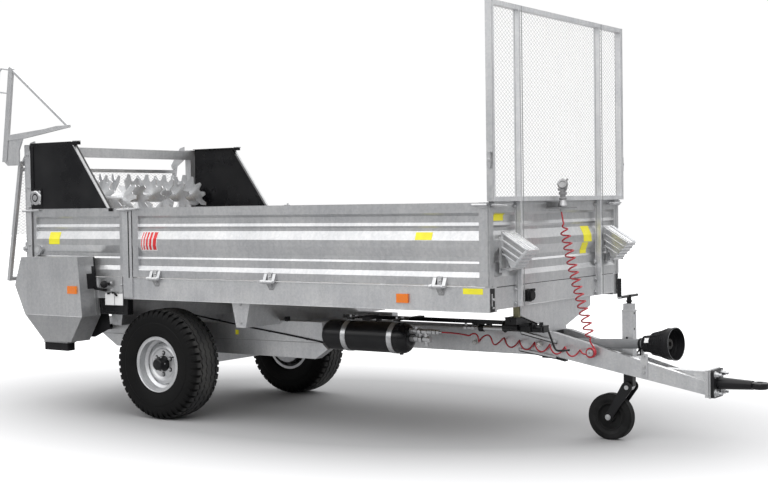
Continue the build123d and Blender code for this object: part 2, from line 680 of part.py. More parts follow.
def mid_posts():
    x0, x1 = MID_POST_X - MID_POST_LENGTH / 2, MID_POST_X + MID_POST_LENGTH / 2
    inner = BOARD_OUTER_Y - BOARD_RIB - BOARD_BACK
    post = block((x0, x1), (-RAIL_OUTER_Y, -inner), (RAIL_TOP_Z, BOARD_TOP_Z))
    face = block((x0, x1), (-RAIL_OUTER_Y - 12, -RAIL_OUTER_Y), (RAIL_BOTTOM_Z + 14, BOARD_TOP_Z))
    return pair(post + face)


def floor_planks():
    inner = RAIL_OUTER_Y - RAIL_WIDTH
    return block((BOX_REAR_X - 60, BOX_FRONT_X - FRONT_BEAM_DEPTH - 2), (-inner + 2, inner - 2), (
        FLOOR_TOP_Z - FLOOR_THICKNESS, FLOOR_TOP_Z))


def floor_slats():
    """Scraper bars on two flat chain strands that lie on the floor."""
    x0, x1 = BOX_REAR_X + 10, BOX_FRONT_X - FRONT_BEAM_DEPTH - 60
    z = FLOOR_TOP_Z
    parts = []
    for y in (-STRAND_Y, 0, STRAND_Y):
        parts.append(block((x0, x1), (y - 14, y + 14), (z, z + 14)))
    count = 12
    for i in range(count):
        x = x0 + 60 + i * (x1 - x0 - 120) / (count - 1)
        parts.append(block((x - 20, x + 20), (-SLAT_REACH, SLAT_REACH), (z, z + 32)))
    return joined(parts)


# ---------------------------------------------------------------- meshes
def diamond_sheet(width, height, columns, rows, strand, thickness):
    """A sheet pierced by rows of diamonds, centred on the origin in the XY plane."""
    w, h = width / columns, height / rows
    margin = strand * 0.5
    outer = Wire.make_polygon([
        Vector(-width / 2, -height / 2), Vector(width / 2, -height / 2),
        Vector(width / 2, height / 2), Vector(-width / 2, height / 2)])
    dx, dy = w / 2 - strand * 0.7, h / 2 - strand * 0.7
    holes = []
    for row in range(2 * rows - 1):
        offset = 0.5 if row % 2 == 0 else 1.0
        for column in range(columns if row % 2 == 0 else columns - 1):
            cx = -width / 2 + (column + offset) * w
            cy = -height / 2 + (row + 1) * h / 2
            reach = min(dx, width / 2 - abs(cx) - margin)
            holes.append(Wire.make_polygon([
                Vector(cx - reach, cy), Vector(cx, cy - dy), Vector(cx + reach, cy), Vector(cx, cy + dy)]))
    return extrude(Face(outer, holes), amount=thickness, dir=(0, 0, 1))


def guard_frame():
    """Rectangular frame with two posts that are bolted to the front wall."""
    x = BOX_FRONT_X + 2
    depth = (x - 4, x - 4 + GUARD_DEPTH)
    half, bar = GUARD_HALF_WIDTH, GUARD_BAR
    parts = [
        block(depth, (-half, -half + bar), (GUARD_BOTTOM_Z, GUARD_TOP_Z)),
        block(depth, (half - bar, half), (GUARD_BOTTOM_Z, GUARD_TOP_Z)),
        block(depth, (-half, half), (GUARD_TOP_Z - bar, GUARD_TOP_Z)),
        block(depth, (-half, half), (GUARD_BOTTOM_Z, GUARD_BOTTOM_Z + bar)),
    ]
    for y in (-GUARD_POST_Y, GUARD_POST_Y):
        half_post = GUARD_POST_WIDTH / 2
        parts.append(block((BOX_FRONT_X, BOX_FRONT_X + GUARD_POST_DEPTH), (y - half_post, y + half_post), (
            940, GUARD_TOP_Z)))
    return joined(parts)


def guard_mesh():
    half = GUARD_HALF_WIDTH - GUARD_BAR
    low, high = GUARD_BOTTOM_Z + GUARD_BAR, GUARD_TOP_Z - GUARD_BAR
    sheet = diamond_sheet(2 * half, high - low, 12, 14, 7.0, MESH_THICKNESS)
    place = Plane(origin=(BOX_FRONT_X - MESH_THICKNESS, 0, (low + high) / 2), x_dir=(0, 1, 0), z_dir=(1, 0, 0))
    return place * sheet


# ---------------------------------------------------------------- beater head
def cheek(side):
    """Black side plate beside the beaters, with its sloping front edge folded in."""
    outer = BOARD_OUTER_Y + 2
    t = CHEEK_THICKNESS
    z0 = BOARD_TOP_Z + 0.5
    outline = [(CHEEK_REAR_X, z0), (CHEEK_FOOT_X, z0), (CHEEK_TOP_X, CHEEK_TOP_Z), (CHEEK_REAR_X, CHEEK_TOP_Z)]
    plate = plate_xz(outline, -outer, -outer + t)
    run, rise = CHEEK_FOOT_X - CHEEK_TOP_X, CHEEK_TOP_Z - z0
    long = hypot(run, rise)
    inset = (rise / long * 6, run / long * 6)
    fold = plate_xz([
        (CHEEK_FOOT_X, z0), (CHEEK_TOP_X, CHEEK_TOP_Z),
        (CHEEK_TOP_X - inset[0], CHEEK_TOP_Z), (CHEEK_FOOT_X - inset[0], z0)], -outer, -outer + 45)
    top = block((CHEEK_REAR_X, CHEEK_TOP_X), (-outer, -outer + 30), (CHEEK_TOP_Z - 6, CHEEK_TOP_Z))
    bearing = rod(
        (BEATER_X, -outer + t - 1, BEATER_UPPER_Z), (BEATER_X, -outer - 16, BEATER_UPPER_Z),
        BEATER_BEARING_RADIUS)
    back = rod(
        (BEATER_X, -outer + t - 1, BEATER_UPPER_Z), (BEATER_X, -outer + 36, BEATER_UPPER_Z),
        BEATER_BEARING_RADIUS)
    body = joined([plate, fold, top, bearing, back])
    body = body - rod((BEATER_X, -outer - 30, BEATER_UPPER_Z), (BEATER_X, -outer + 60, BEATER_UPPER_Z), (
        BEATER_SHAFT_RADIUS + RUNNING_GAP))
    return body if side < 0 else left_of(body)


def rear_frame():
    """Two tall posts with the top crossbar and the gate's hinge ears."""
    x0, x1 = REAR_POST_REAR_X, REAR_POST_REAR_X + REAR_POST_DEPTH
    outer = BOARD_OUTER_Y + 2
    post = block((x0, x1), (-outer, -outer + REAR_POST_WIDTH), (RAIL_TOP_Z, REAR_POST_TOP_Z))
    bar = block((x0, x1), (-outer + REAR_POST_WIDTH - 1, outer - REAR_POST_WIDTH + 1), CROSSBAR_Z)
    parts = [post, left_of(post), bar]
    ear = plate_xz([
        (x0 + 20, CROSSBAR_Z[1] + 40), (x0 - 30, CROSSBAR_Z[1] + 30), (GATE_PIVOT_X - 22, GATE_PIVOT_Z + 8),
        (GATE_PIVOT_X - 14, GATE_PIVOT_Z - 22), (GATE_PIVOT_X + 22, GATE_PIVOT_Z - 22),
        (x0 + 1, CROSSBAR_Z[0] - 10), (x0 + 20, CROSSBAR_Z[0] + 10)], -GATE_EAR_Y - 5, -GATE_EAR_Y + 5)
    hole = rod(
        (GATE_PIVOT_X, -GATE_EAR_Y - 20, GATE_PIVOT_Z), (GATE_PIVOT_X, -GATE_EAR_Y + 20, GATE_PIVOT_Z), (
        GATE_PIN_RADIUS + RUNNING_GAP))
    ear = ear - hole
    parts += [ear, left_of(ear)]
    return joined(parts)


def beater(z):
    """Cross beater: a tube with toothed paddles wound round it, on a shaft that runs in the side bearings."""
    half = BEATER_HALF_LENGTH
    shaft_end = BOARD_OUTER_Y + 12
    parts = [
        rod((BEATER_X, -half, z), (BEATER_X, half, z), BEATER_TUBE_RADIUS),
        rod((BEATER_X, -shaft_end, z), (BEATER_X, shaft_end, z), BEATER_SHAFT_RADIUS),
    ]
    tip, root = BEATER_TIP_RADIUS, BEATER_TUBE_RADIUS - 4
    count = 8
    step = (2 * half - 150) / (count - 1)
    for i in range(count):
        y = -half + 75 + i * step
        hand = 1 if y < 0 else -1
        for turn in (0, 180):
            start = turn + i * 78
            # angle, radius pairs of one toothed paddle
            teeth = [(-46, root), (-50, 120), (-44, tip - 34), (-32, tip), (-20, tip - 42), (-8, tip - 8), (
                4, tip - 46), (16, tip), (28, tip - 44), (40, tip - 20), (44, 120), (40, root)]
            outline = [(r * cos(radians(a)), r * sin(radians(a))) for a, r in teeth]
            blade = extrude(make_face(Polyline(*outline, close=True)), amount=4, both=True)
            place = Pos(BEATER_X, y, z) * Rot(0, start, 0) * Rot(hand * 22, 0, 0) * Rot(90, 0, 0)
            parts.append(place * blade)
    return joined(parts)


# ---------------------------------------------------------------- rear gate
def gate_place():
    """Plane of the hanging gate: its X runs down the gate, its Z across the machine."""
    lean = radians(GATE_LEAN)
    return Plane(origin=(GATE_PIVOT_X, 0, GATE_PIVOT_Z), x_dir=(-sin(lean), 0, -cos(lean)), z_dir=(0, 1, 0))


def gate_frame():
    place = gate_place()
    half, bar = GATE_HALF_WIDTH, GATE_BAR
    length = GATE_LENGTH

    def piece(down, out, across):
        (d0, d1), (o0, o1), (a0, a1) = down, out, across
        return place * (Pos((d0 + d1) / 2, (o0 + o1) / 2, (a0 + a1) / 2) * Box(d1 - d0, o1 - o0, a1 - a0))

    parts = [
        piece((-18, length), (-bar / 2, bar / 2), (-half, -half + bar)),
        piece((-18, length), (-bar / 2, bar / 2), (half - bar, half)),
        piece((GATE_BAR_DROP, GATE_BAR_DROP + bar), (-bar / 2, bar / 2), (-half, half)),
        piece((length - bar, length), (-bar / 2, bar / 2), (-half, half)),
    ]
    for side in (-1, 1):
        y = side * (half - bar + 1)
        pin = rod(
            (GATE_PIVOT_X, y, GATE_PIVOT_Z), (GATE_PIVOT_X, side * (GATE_EAR_Y - 12), GATE_PIVOT_Z),
            GATE_PIN_RADIUS)
        parts.append(pin)
    return joined(parts)


def gate_mesh():
    half, bar = GATE_HALF_WIDTH - GATE_BAR, GATE_BAR
    length = GATE_LENGTH - 2 * bar - GATE_BAR_DROP
    sheet = diamond_sheet(length, 2 * half, 9, 16, 7.0, MESH_THICKNESS)
    place = gate_place()
    base = Plane(
        origin=place.origin + place.x_dir * (GATE_BAR_DROP + bar + length / 2) - place.y_dir * MESH_THICKNESS / 2,
        x_dir=place.x_dir, z_dir=place.y_dir)
    return base * sheet


def gate_lever():
    """Right-angled hand lever on the gate's right side: mast, forward arm, brace and grip loop."""
    y0 = -GATE_LEVER_Y - GATE_LEVER_THICKNESS / 2
    y1 = -GATE_LEVER_Y + GATE_LEVER_THICKNESS / 2
    mast = plate_xz([(-1600, 2010), (-1552, 2010), (-1452, 2762), (-1478, 2779), (-1498, 2772)], y0, y1)
    arm = plate_xz([
        (-1565, 2180), (-1350, 2192), (-806, 2262), (-806, 2279), (-955, 2277), (-1082, 2260),
        (-1560, 2224)], y0, y1)
    gusset = plate_xz([
        (-1555, 2186), (-1352, 2194), (-1400, 2102), (-1402, 1978), (-1540, 1978),
        (-1580, 2010)], y0 + 6, y1 - 6)
    brace = rod((-1470, -GATE_LEVER_Y, 2755), (-830, -GATE_LEVER_Y, 2276), 8)
    loop = [(-1500, 2760), (-1596, 2776), (-1625, 2750), (-1640, 2610), (-1622, 2584), (-1530, 2572)]
    parts = [mast, arm, gusset, brace]
    for (xa, za), (xb, zb) in zip(loop, loop[1:]):
        parts.append(rod((xa, -GATE_LEVER_Y, za), (xb, -GATE_LEVER_Y, zb), 8))
        parts.append(Pos(xb, -GATE_LEVER_Y, zb) * Sphere(8))
    link = rod((GATE_PIVOT_X, y1 - 8, GATE_PIVOT_Z), (GATE_PIVOT_X, -GATE_HALF_WIDTH - 0.5, GATE_PIVOT_Z), 16)
    parts.append(link)
    return joined(parts)


# ---------------------------------------------------------------- side drives
def drive_guard(side):
    """Folded sheet cover over the side drive, open towards the box; the left one rises to both beaters."""
    top = [(-1235, 1240)]
    if side > 0:
        top = [(-1345, 1255), (-1345, 1830), (-1150, 1830), (-1120, 1243)]
    outline = top + [(-592, 1247), (-552, 784), (-680, 584), (-977, 578), (-1203, 786), (-1315, 1014)]
    inside, outside = RAIL_OUTER_Y, DRIVE_OUTER_Y
    face = make_face(Polyline(*[(x, -outside, z) for x, z in outline], close=True))
    hollow = offset(face, amount=-DRIVE_SHEET, kind=Kind.INTERSECTION)
    body = extrude(face, amount=outside - inside, dir=(0, 1, 0))
    body = body - extrude(Pos(0, DRIVE_SHEET, 0) * hollow, amount=outside - inside, dir=(0, 1, 0))
    board_way = block((-1400, -500), (-BOARD_OUTER_Y - 10, -RAIL_OUTER_Y + 5), (BOARD_BOTTOM_Z - 12, 1900))
    foot = extrude(Pos(0, outside - inside - DRIVE_SHEET, 0) * face, amount=DRIVE_SHEET, dir=(0, 1, 0))
    foot = foot & block((-1400, -500), (-RAIL_OUTER_Y - 20, -RAIL_OUTER_Y), (RAIL_BOTTOM_Z + 10, RAIL_TOP_Z - 10))
    body = body - board_way + foot
    return body if side < 0 else left_of(body)


def lever_panel():
    """Feed lever plate with its knob on the right rail, ahead of the drive guard."""
    y = -RAIL_OUTER_Y
    plate = block((-478, -292), (y - 14, y), (868, 1086))
    lever = rod((-443, y - 10, 1032), (-443, y - 46, 1032), 12)
    knob = Pos(-443, y - 60, 1032) * Sphere(27)
    return joined([plate, lever, knob])


# ---------------------------------------------------------------- air brake
def air_tank():
    """Tank with domed ends and the two pipe unions in its front end."""
    x0, x1 = TANK_X
    body = rod((x0, -TANK_Y, TANK_Z), (x1, -TANK_Y, TANK_Z), TANK_RADIUS)
    body = fillet(body.edges(), TANK_DOME)
    upper = rod((x1 - 40, -TANK_Y, TANK_UNION_Z), (HOSE_TAIL[-1][0], -TANK_Y, TANK_UNION_Z), 14)
    lower = rod((x1 - 40, -TANK_Y, TANK_Z), (x1 + 150, -TANK_Y, TANK_Z), 17)
    return joined([body, upper, lower])


def tank_straps():
    """Two bands round the tank, each carried by an arm that lies on the brake bar."""
    top = BRAKE_BAR_Z[1]
    parts = []
    for x in (TANK_X[0] + 213, TANK_X[1] - 115):
        band = pipe((x - 20, -TANK_Y, TANK_Z), (x + 20, -TANK_Y, TANK_Z), TANK_RADIUS + 4, TANK_RADIUS)
        stub = block((x - 20, x + 20), (-TANK_Y - 14, -TANK_Y + 14), (TANK_Z + TANK_RADIUS + 2, top + 2))
        arm = block((x - 20, x + 20), (-TANK_Y - 14, -BRAKE_Y + 16), (top, top + 10))
        parts.append(band + stub + arm)
    return Compound(children=[solid for part in parts for solid in part.solids()])


def brake_valve():
    """Valve and hand brake body with the bracket over it."""
    y, (low, high) = -BRAKE_Y, BRAKE_BODY_Z
    body = block((2690, BRAKE_POST_FRONT_X), (y - 38, y + 38), BRAKE_BODY_Z)
    nose = block((BRAKE_POST_FRONT_X - 5, 3010), (y - 38, y + 38), (low, high - 24))
    bracket = block((2840, BRAKE_POST_FRONT_X), (y - 259, y + 38), (high - 2, BRAKE_POST_FOOT_Z))
    return joined([body, nose, bracket])


def brake_post():
    """Post that the brake bracket hangs on, under the front beam."""
    return block((BRAKE_POST_FRONT_X - 44, BRAKE_POST_FRONT_X), (-BRAKE_Y - 222, -BRAKE_Y - 150), (
        BRAKE_POST_FOOT_Z, FRONT_BEAM_BOTTOM_Z))


def brake_rod():
    """Flat bar behind the valve, held off the drawbar by two arms."""
    y, (low, high) = -BRAKE_Y, BRAKE_BAR_Z
    bar = block((1330, 2690), (y - 20, y + 20), BRAKE_BAR_Z)
    beam_top = DRAW_Z[1]
    parts = [bar]
    for x in (1500, 2450):
        parts.append(block((x, x + 30), (y - 16, -DRAW_Y + 33), (low - 14, low + 2)))
        parts.append(block((x, x + 30), (-DRAW_Y, -DRAW_Y + 33), (beam_top, low - 12)))
    return joined(parts)


# ---------------------------------------------------------------- wheel chocks
def chock(side):
    x = BOX_FRONT_X + 16
    outline = [(x, 1437), (x + 195, 1317), (x + 75, 1190), (x, 1330)]
    body = plate_xz(outline, -835, -685)
    return body if side < 0 else left_of(body)


def chock_holders():
    x = BOX_FRONT_X
    plate = block((x, x + 16), (-835, -760), (1170, 1400))
    return pair(plate)


# ---------------------------------------------------------------- air hose
COUPLING = (BOX_FRONT_X + 72, -104.0)
HOSE_DROP = [
    (3028.0, -104.0, 1565.0), (3043.0, -111.0, 1490.0), (3092.0, -122.0, 1291.0), (3146.0, -134.0, 1088.0),
    (3190.0, -148.0, 954.0), (3234.0, -160.0, 821.0), (3264.0, -168.0, 722.0), (3274.0, -172.0, 640.0),
]
HOSE_HOOK = (3274.0, 604.0)
HOSE_WAVES = [
    (3236.0, -184.0, 594.0), (3120.0, -186.0, 606.0), (2918.0, -187.0, 622.0), (2690.0, -187.0, 640.0),
    (2560.0, -206.0, 656.0), (2478.0, -290.0, 680.0), (2440.0, -385.0, 704.0),
]
HOSE_TAIL = [
    (2440.0, -385.0, 704.0), (2421.0, -432.5, 716.0), (2412.0, -520.0, 730.0), (2400.0, -612.0, 742.0),
    (2350.0, -612.0, 742.0),
]


def hose_tube(route, radius):
    """A round tube along straight runs joined by arcs."""
    points = [Vector(*p) for p in route]
    radii = []
    for a, b, c in zip(points, points[1:], points[2:]):
        turn = radians((b - a).get_angle(c - b))
        shorter = min((b - a).length, (c - b).length)
        radii.append(0.45 * shorter / max(0.001, abs(sin(turn / 2) / cos(turn / 2))))
    path = FilletPolyline(*points, radius=radii)
    start = Plane(origin=points[0], z_dir=points[1] - points[0])
    return sweep(start * Circle(radius), path=path)


def hose_coil():
    """Curly hose that hangs from the coupling; its last turns hang round the hook."""
    x, z = HOSE_HOOK
    drop = hose_tube(HOSE_DROP, HOSE_COIL_RADIUS)
    turns = pipe((x, -189, z), (x, -155, z), HOSE_COIL_RADIUS, HOSE_COIL_RADIUS - 2 * HOSE_RADIUS)
    return drop + turns


def hose_waves():
    """The stretched rest of the curly hose along the drawbar, and its plain tail to the air tank."""
    return hose_tube(HOSE_WAVES, HOSE_WAVE_RADIUS)


def hose_tail():
    return hose_tube(HOSE_TAIL, HOSE_RADIUS)


def hose_hook():
    """Pin that the hose hangs on, and the clip at the other end of its waves."""
    x, z = HOSE_HOOK
    face = draw_outer_y(x)
    return rod((x, -face + 4, z), (x, -196, z), 7) - drawbar()


def coupling_head():
    """Bracket below the front guard with the parked hose coupling."""
    x, y = COUPLING
    shelf = block((BOX_FRONT_X, x + 28), (y - 80, y + 190), (1575, 1583))
    back = block((BOX_FRONT_X, BOX_FRONT_X + 6), (y - 80, y + 190), (1583, 1622))
    body = rod((x + 16, y, 1583), (x + 16, y, 1705), 17)
    head = rod((x + 16, y - 26, 1742), (x + 16, y + 26, 1742), 38)
    return joined([shelf, back, body, head])


def lamps():
    """Side markers on the drive guard and rail."""
    parts = []
    for x, y, z in [(2296, -RAIL_OUTER_Y, 997), (-650, -DRIVE_OUTER_Y, 992)]:
        lamp = block((x - 46, x + 46), (y - 14, y), (z - 30, z + 30))
        parts += [lamp, left_of(lamp)]
    return Compound(children=[solid for part in parts for solid in part.solids()])


# ---------------------------------------------------------------- all pieces
def main():
    os.makedirs("parts", exist_ok=True)
    front_board = drop_board()
    back_board = rear_board()
    for side, name in [(-1, "right"), (1, "left")]:
        publish(f"tyre_{name}", tyre(side))
        publish(f"rim_{name}", rim(side))
        publish(f"hub_{name}", hub(side))
        publish(f"side_board_{name}", front_board if side < 0 else left_of(front_board))
        publish(f"rear_board_{name}", back_board if side < 0 else left_of(back_board))
        publish(f"beater_cheek_{name}", cheek(side))
        publish(f"drive_guard_{name}", drive_guard(side))
        publish(f"wheel_chock_{name}", chock(side))
    publish("axle", axle())
    publish("chassis_frame", chassis_frame())
    publish("floor_frame", floor_frame())
    publish("front_gusset", front_gusset())
    publish("drawbar", drawbar())
    publish("drawbar_head", drawbar_head())
    publish("tow_eye", tow_eye())
    publish("pto_bearing", pto_bearing())
    publish("pto_guard_tube", pto_guard_tube())
    publish("pto_cone", pto_cone())
    publish("pto_shaft", pto_shaft())
    publish("pto_bracket", pto_bracket())
    publish("jack_tube", jack_tube())
    publish("jack_leg", jack_leg())
    publish("jockey_fork", jockey_fork())
    publish("jockey_wheel", jockey_wheel())
    publish("board_hinges", board_hinges())
    publish("front_wall", front_wall())
    publish("mid_posts", mid_posts())
    publish("floor_planks", floor_planks())
    publish("floor_slats", floor_slats())
    publish("guard_frame", guard_frame())
    publish("guard_mesh", guard_mesh())
    publish("rear_frame", rear_frame())
    publish("beater_upper", beater(BEATER_UPPER_Z))
    publish("beater_lower", beater(BEATER_UPPER_Z - BEATER_PITCH_Z))
    publish("gate_frame", gate_frame())
    publish("gate_mesh", gate_mesh())
    publish("gate_lever", gate_lever())
    publish("lever_panel", lever_panel())
    publish("air_tank", air_tank())
    publish("tank_straps", tank_straps())
    publish("brake_valve", brake_valve())
    publish("brake_post", brake_post())
    publish("brake_rod", brake_rod())
    publish("chock_holders", chock_holders())
    publish("hose_coil", hose_coil())
    publish("hose_waves", hose_waves())
    publish("hose_tail", hose_tail())
    publish("hose_hook", hose_hook())
    publish("drive_line", drive_line())
    publish("rear_gearbox", rear_gearbox())
    publish("coupling_head", coupling_head())
    publish("lamps", lamps())


if __name__ == "__main__":
    main()
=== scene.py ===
# %% [markdown]
# A towed manure spreader is almost all hot-dip galvanised sheet: a ribbed load box on a narrow drawbar, two toothed
# beaters behind it, and mesh frames at both ends. The CAD frame gives every piece its size and place, so this
# script loads it first and only dresses it: finishes, treads, fine mesh, bolts, stickers, the curly hose, light.

# %% Load the frame
import math

import bmesh
import bpy
from mathutils import Matrix, Vector


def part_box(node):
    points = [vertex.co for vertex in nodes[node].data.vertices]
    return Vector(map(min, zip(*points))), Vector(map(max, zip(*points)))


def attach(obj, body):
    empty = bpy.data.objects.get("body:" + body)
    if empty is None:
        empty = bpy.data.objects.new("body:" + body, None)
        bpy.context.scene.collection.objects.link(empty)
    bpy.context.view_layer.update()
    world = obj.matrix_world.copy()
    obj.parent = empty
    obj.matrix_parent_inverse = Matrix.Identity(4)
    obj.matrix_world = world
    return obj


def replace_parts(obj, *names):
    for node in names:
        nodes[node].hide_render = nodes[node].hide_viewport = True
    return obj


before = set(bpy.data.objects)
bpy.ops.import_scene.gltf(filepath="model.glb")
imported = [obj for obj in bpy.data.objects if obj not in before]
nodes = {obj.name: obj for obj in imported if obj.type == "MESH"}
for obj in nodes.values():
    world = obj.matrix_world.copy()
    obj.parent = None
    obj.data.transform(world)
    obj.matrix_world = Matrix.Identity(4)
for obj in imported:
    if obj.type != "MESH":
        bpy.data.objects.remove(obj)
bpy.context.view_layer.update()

# %% [markdown]
# Every place is counted from the middle of the axle on the ground, because the wheels are what the eye measures the
# machine by. The axle's own box gives that point in the frame, and `at` turns a place counted from it, in
# millimetres as on a workshop drawing, into the frame's metres.


# %% Places counted from the axle
def middle(node):
    """Centre of a CAD node's box."""
    return [(a + b) / 2 for a, b in zip(*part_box(node))]


AXLE_X = middle("tyre_right")[0]


def at(x, y, z):
    """Place in the frame, in metres, of a point in millimetres from the axle."""
    return Vector((AXLE_X + x / 1000, y / 1000, z / 1000))


print("axle stands at x =", round(AXLE_X, 4))

# %% [markdown]
# The added pieces are meshes built from a few shapes: a prism drawn out from an outline, a body turned about an
# axis, a plate, and a tube along points. All of them are rows of points joined by faces, so one function joins them,
# and one more turns a list of shapes into an object whose mesh already holds its place, as the CAD nodes do.


# %% Shapes
TINY = 1e-7  # radius that closes a turned profile on its axis


def joined(verts, size, loop=False, ring=True):
    """Rows of points, size to a row, joined row to row; without a loop both ends are closed."""
    rows = len(verts) // size
    steps = [(a * size, (a + 1) % rows * size) for a in range(rows if loop else rows - 1)]
    around = [(i, (i + 1) % size) for i in range(size if ring else size - 1)]
    faces = [(a + i, a + j, b + j, b + i) for a, b in steps for i, j in around]
    if not loop:
        faces += [tuple(range(size)), tuple(range(len(verts) - 1, len(verts) - size - 1, -1))]
    return verts, faces


def merged(shapes):
    """Several (points, faces) shapes as one."""
    verts, faces = [], []
    for more_verts, more_faces in shapes:
        faces += [tuple(i + len(verts) for i in face) for face in more_faces]
        verts += more_verts
    return verts, faces


def circle(radius, count, turn=0.0):
    """Points (across, up) round a centre."""
    angles = [turn + 2 * math.pi * i / count for i in range(count)]
    return [(radius * math.cos(angle), radius * math.sin(angle)) for angle in angles]


def turned(profile, centre, axis=(0, 1, 0), steps=48, closed=False):
    """A profile of (along, radius) points, in metres, turned about an axis through centre."""
    axis = Vector(axis).normalized()
    across = axis.orthogonal().normalized()
    other = axis.cross(across)
    verts = [centre + axis * along + (across * a + other * b) * radius
             for a, b in circle(1, steps) for along, radius in profile]
    return joined(verts, len(profile), loop=True, ring=closed)


def ball(radius, steps, pole=TINY):
    """Profile of a ball."""
    angles = [t * math.pi / steps for t in range(steps + 1)]
    return [(radius * math.cos(angle), max(pole, radius * math.sin(angle))) for angle in angles]


def rod(start, end, radius, steps=12):
    """A round bar between two points in metres."""
    length = (end - start).length
    return turned([(0, TINY), (0, radius), (length, radius), (length, TINY)], start, end - start, steps)


def slanted_rod(start, end, radius, steps=12):
    """A round bar between two places in millimetres from the axle."""
    return rod(at(*start), at(*end), radius / 1000, steps)


def rods(axis, *rows):
    """Bars along one axis, a row for each: start, end, the two other coordinates, radius, number of sides."""
    shapes = []
    for start, end, first, second, radius, *steps in rows:
        places = [[first, second], [first, second]]
        for place, along in zip(places, (start, end)):
            place.insert("xyz".index(axis), along)
        shapes.append(slanted_rod(*places, radius, *steps))
    return shapes


BOX_FACES = [(0, 1, 3, 2), (4, 6, 7, 5), (0, 4, 5, 1), (2, 3, 7, 6), (0, 2, 6, 4), (1, 5, 7, 3)]


def plates(*rows):
    """Boxes, a row for each: low and high limit along X, Y and Z in millimetres from the axle."""
    return [([at(x, y, z) for x in row[:2] for y in row[2:4] for z in row[4:]], BOX_FACES) for row in rows]


def bolt(place, direction, across, height, washer=True):
    """A hexagon head with a slight crown, on a washer; across the flats and height in millimetres."""
    radius, height = across / 1000 / math.sqrt(3), height / 1000
    head = [turned([(0, TINY), (0, radius), (height * 0.85, radius), (height, radius * 0.86), (height, TINY)],
                   place, direction, 6)]
    if washer:
        rim = radius * 1.45
        head.append(turned([(0, TINY), (0, rim), (0.0022, rim), (0.0022, TINY)], place, direction, 14))
    return merged(head)


RIGHTWARD, FORWARD, UPWARD = (0, -1, 0), (1, 0, 0), (0, 0, 1)


def bolts(direction, *rows):
    """Bolt heads that face one way, a row for each: place, width across the flats, height, washer or not."""
    return [bolt(at(*row[:3]), direction, *row[3:]) for row in rows]


def upright(outline, y0, y1):
    """An outline in the side view, in millimetres from the axle, drawn across the machine."""
    return joined([at(x, y, z) for y in (y0, y1) for x, z in outline], len(outline))


def tube(points, radius, steps=12):
    """A round tube that follows points, with its ring kept from twisting."""
    points = [Vector(p) for p in points]
    verts, across = [], None
    for before, point, after in zip(points[:1] + points, points, points[1:] + points[-1:]):
        along = (after - before).normalized()
        across = (across - along * across.dot(along)).normalized() if across else along.orthogonal().normalized()
        other = along.cross(across)
        verts += [point + (across * a + other * b) * radius for a, b in circle(1, steps)]
    return joined(verts, steps)


def bent(points, radius, steps=6):
    """The points of a path with each inner corner rounded."""
    path = [points[0]]
    for before, corner, after in zip(points, points[1:], points[2:]):
        into, out = before - corner, after - corner
        reach = min(radius, into.length * 0.45, out.length * 0.45)
        start, end = corner + into.normalized() * reach, corner + out.normalized() * reach
        path += [start * (1 - t) ** 2 + corner * 2 * t * (1 - t) + end * t ** 2
                 for t in [step / steps for step in range(steps + 1)]]
    return path + [points[-1]]


# %% Pieces
def dress(piece, material, body, smooth=False):
    """Links a piece, gives it its finish and seats it on a body."""
    bpy.context.scene.collection.objects.link(piece)
    piece.data.materials.clear()
    piece.data.materials.append(material)
    for polygon in piece.data.polygons:
        polygon.use_smooth = smooth
    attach(piece, body)
    return piece


def bevelled(piece, width, segments):
    """Rounds a piece's edges and leaves a plain mesh."""
    modifier = piece.modifiers.new("edge", "BEVEL")
    modifier.width, modifier.segments = width, segments
    modifier.limit_method, modifier.angle_limit = "ANGLE", math.radians(35)
    mesh = bpy.data.meshes.new_from_object(piece.evaluated_get(bpy.context.evaluated_depsgraph_get()))
    piece.modifiers.remove(modifier)
    piece.data = mesh


def add(name, shapes, material, body="chassis", bevel=0.0, segments=1, smooth=False):
    """An object made of shapes that rides on a body, its edges rounded by bevel metres."""
    mesh = bpy.data.meshes.new(name)
    verts, faces = merged(shapes)
    mesh.from_pydata([tuple(v) for v in verts], [], faces)
    mesh.validate()
    work = bmesh.new()
    work.from_mesh(mesh)
    bmesh.ops.remove_doubles(work, verts=work.verts, dist=1e-6)
    bmesh.ops.recalc_face_normals(work, faces=work.faces)
    work.to_mesh(mesh)
    work.free()
    piece = dress(bpy.data.objects.new(name, mesh), material, body, smooth)
    if bevel:
        bevelled(piece, bevel, segments)
    return piece


DROP_SIDES = ("drop_side_right", "drop_side_left")


def both_sides(name, shapes, material, bevel=0.0, bodies=("chassis", "chassis")):
    """One piece on the right and its twin on the left, each on its body."""
    verts, faces = merged(shapes)
    for side, body, flip in zip(("_right", "_left"), bodies, (1, -1)):
        add(name + side, [([Vector((v.x, v.y * flip, v.z)) for v in verts], faces)], material, body, bevel)


# %% [markdown]
# The camera stands to the right and ahead of the machine, a little above a tall person's eyes, with a moderately
# long lens, so that the long side and the narrow front both read. Its place is counted from the axle like the rest.

# %% Camera
camera_data = bpy.data.cameras.new("camera")
camera_data.lens, camera_data.sensor_width, camera_data.clip_end = 63.16, 36.0, 200.0
camera = bpy.data.objects.new("camera", camera_data)
bpy.context.scene.collection.objects.link(camera)
camera.location = at(7244.6, -8387.4, 1631.0)
VIEW_YAW, VIEW_PITCH, VIEW_ROLL = [math.radians(angle) for angle in (34.49, 2.07, -0.84)]
look = Matrix.Rotation(VIEW_YAW, 4, "Z") @ Matrix.Rotation(math.pi / 2 - VIEW_PITCH, 4, "X")
camera.rotation_euler = (look @ Matrix.Rotation(VIEW_ROLL, 4, "Z")).to_euler()
bpy.context.scene.camera = camera
print("camera lens", camera_data.lens, "mm")
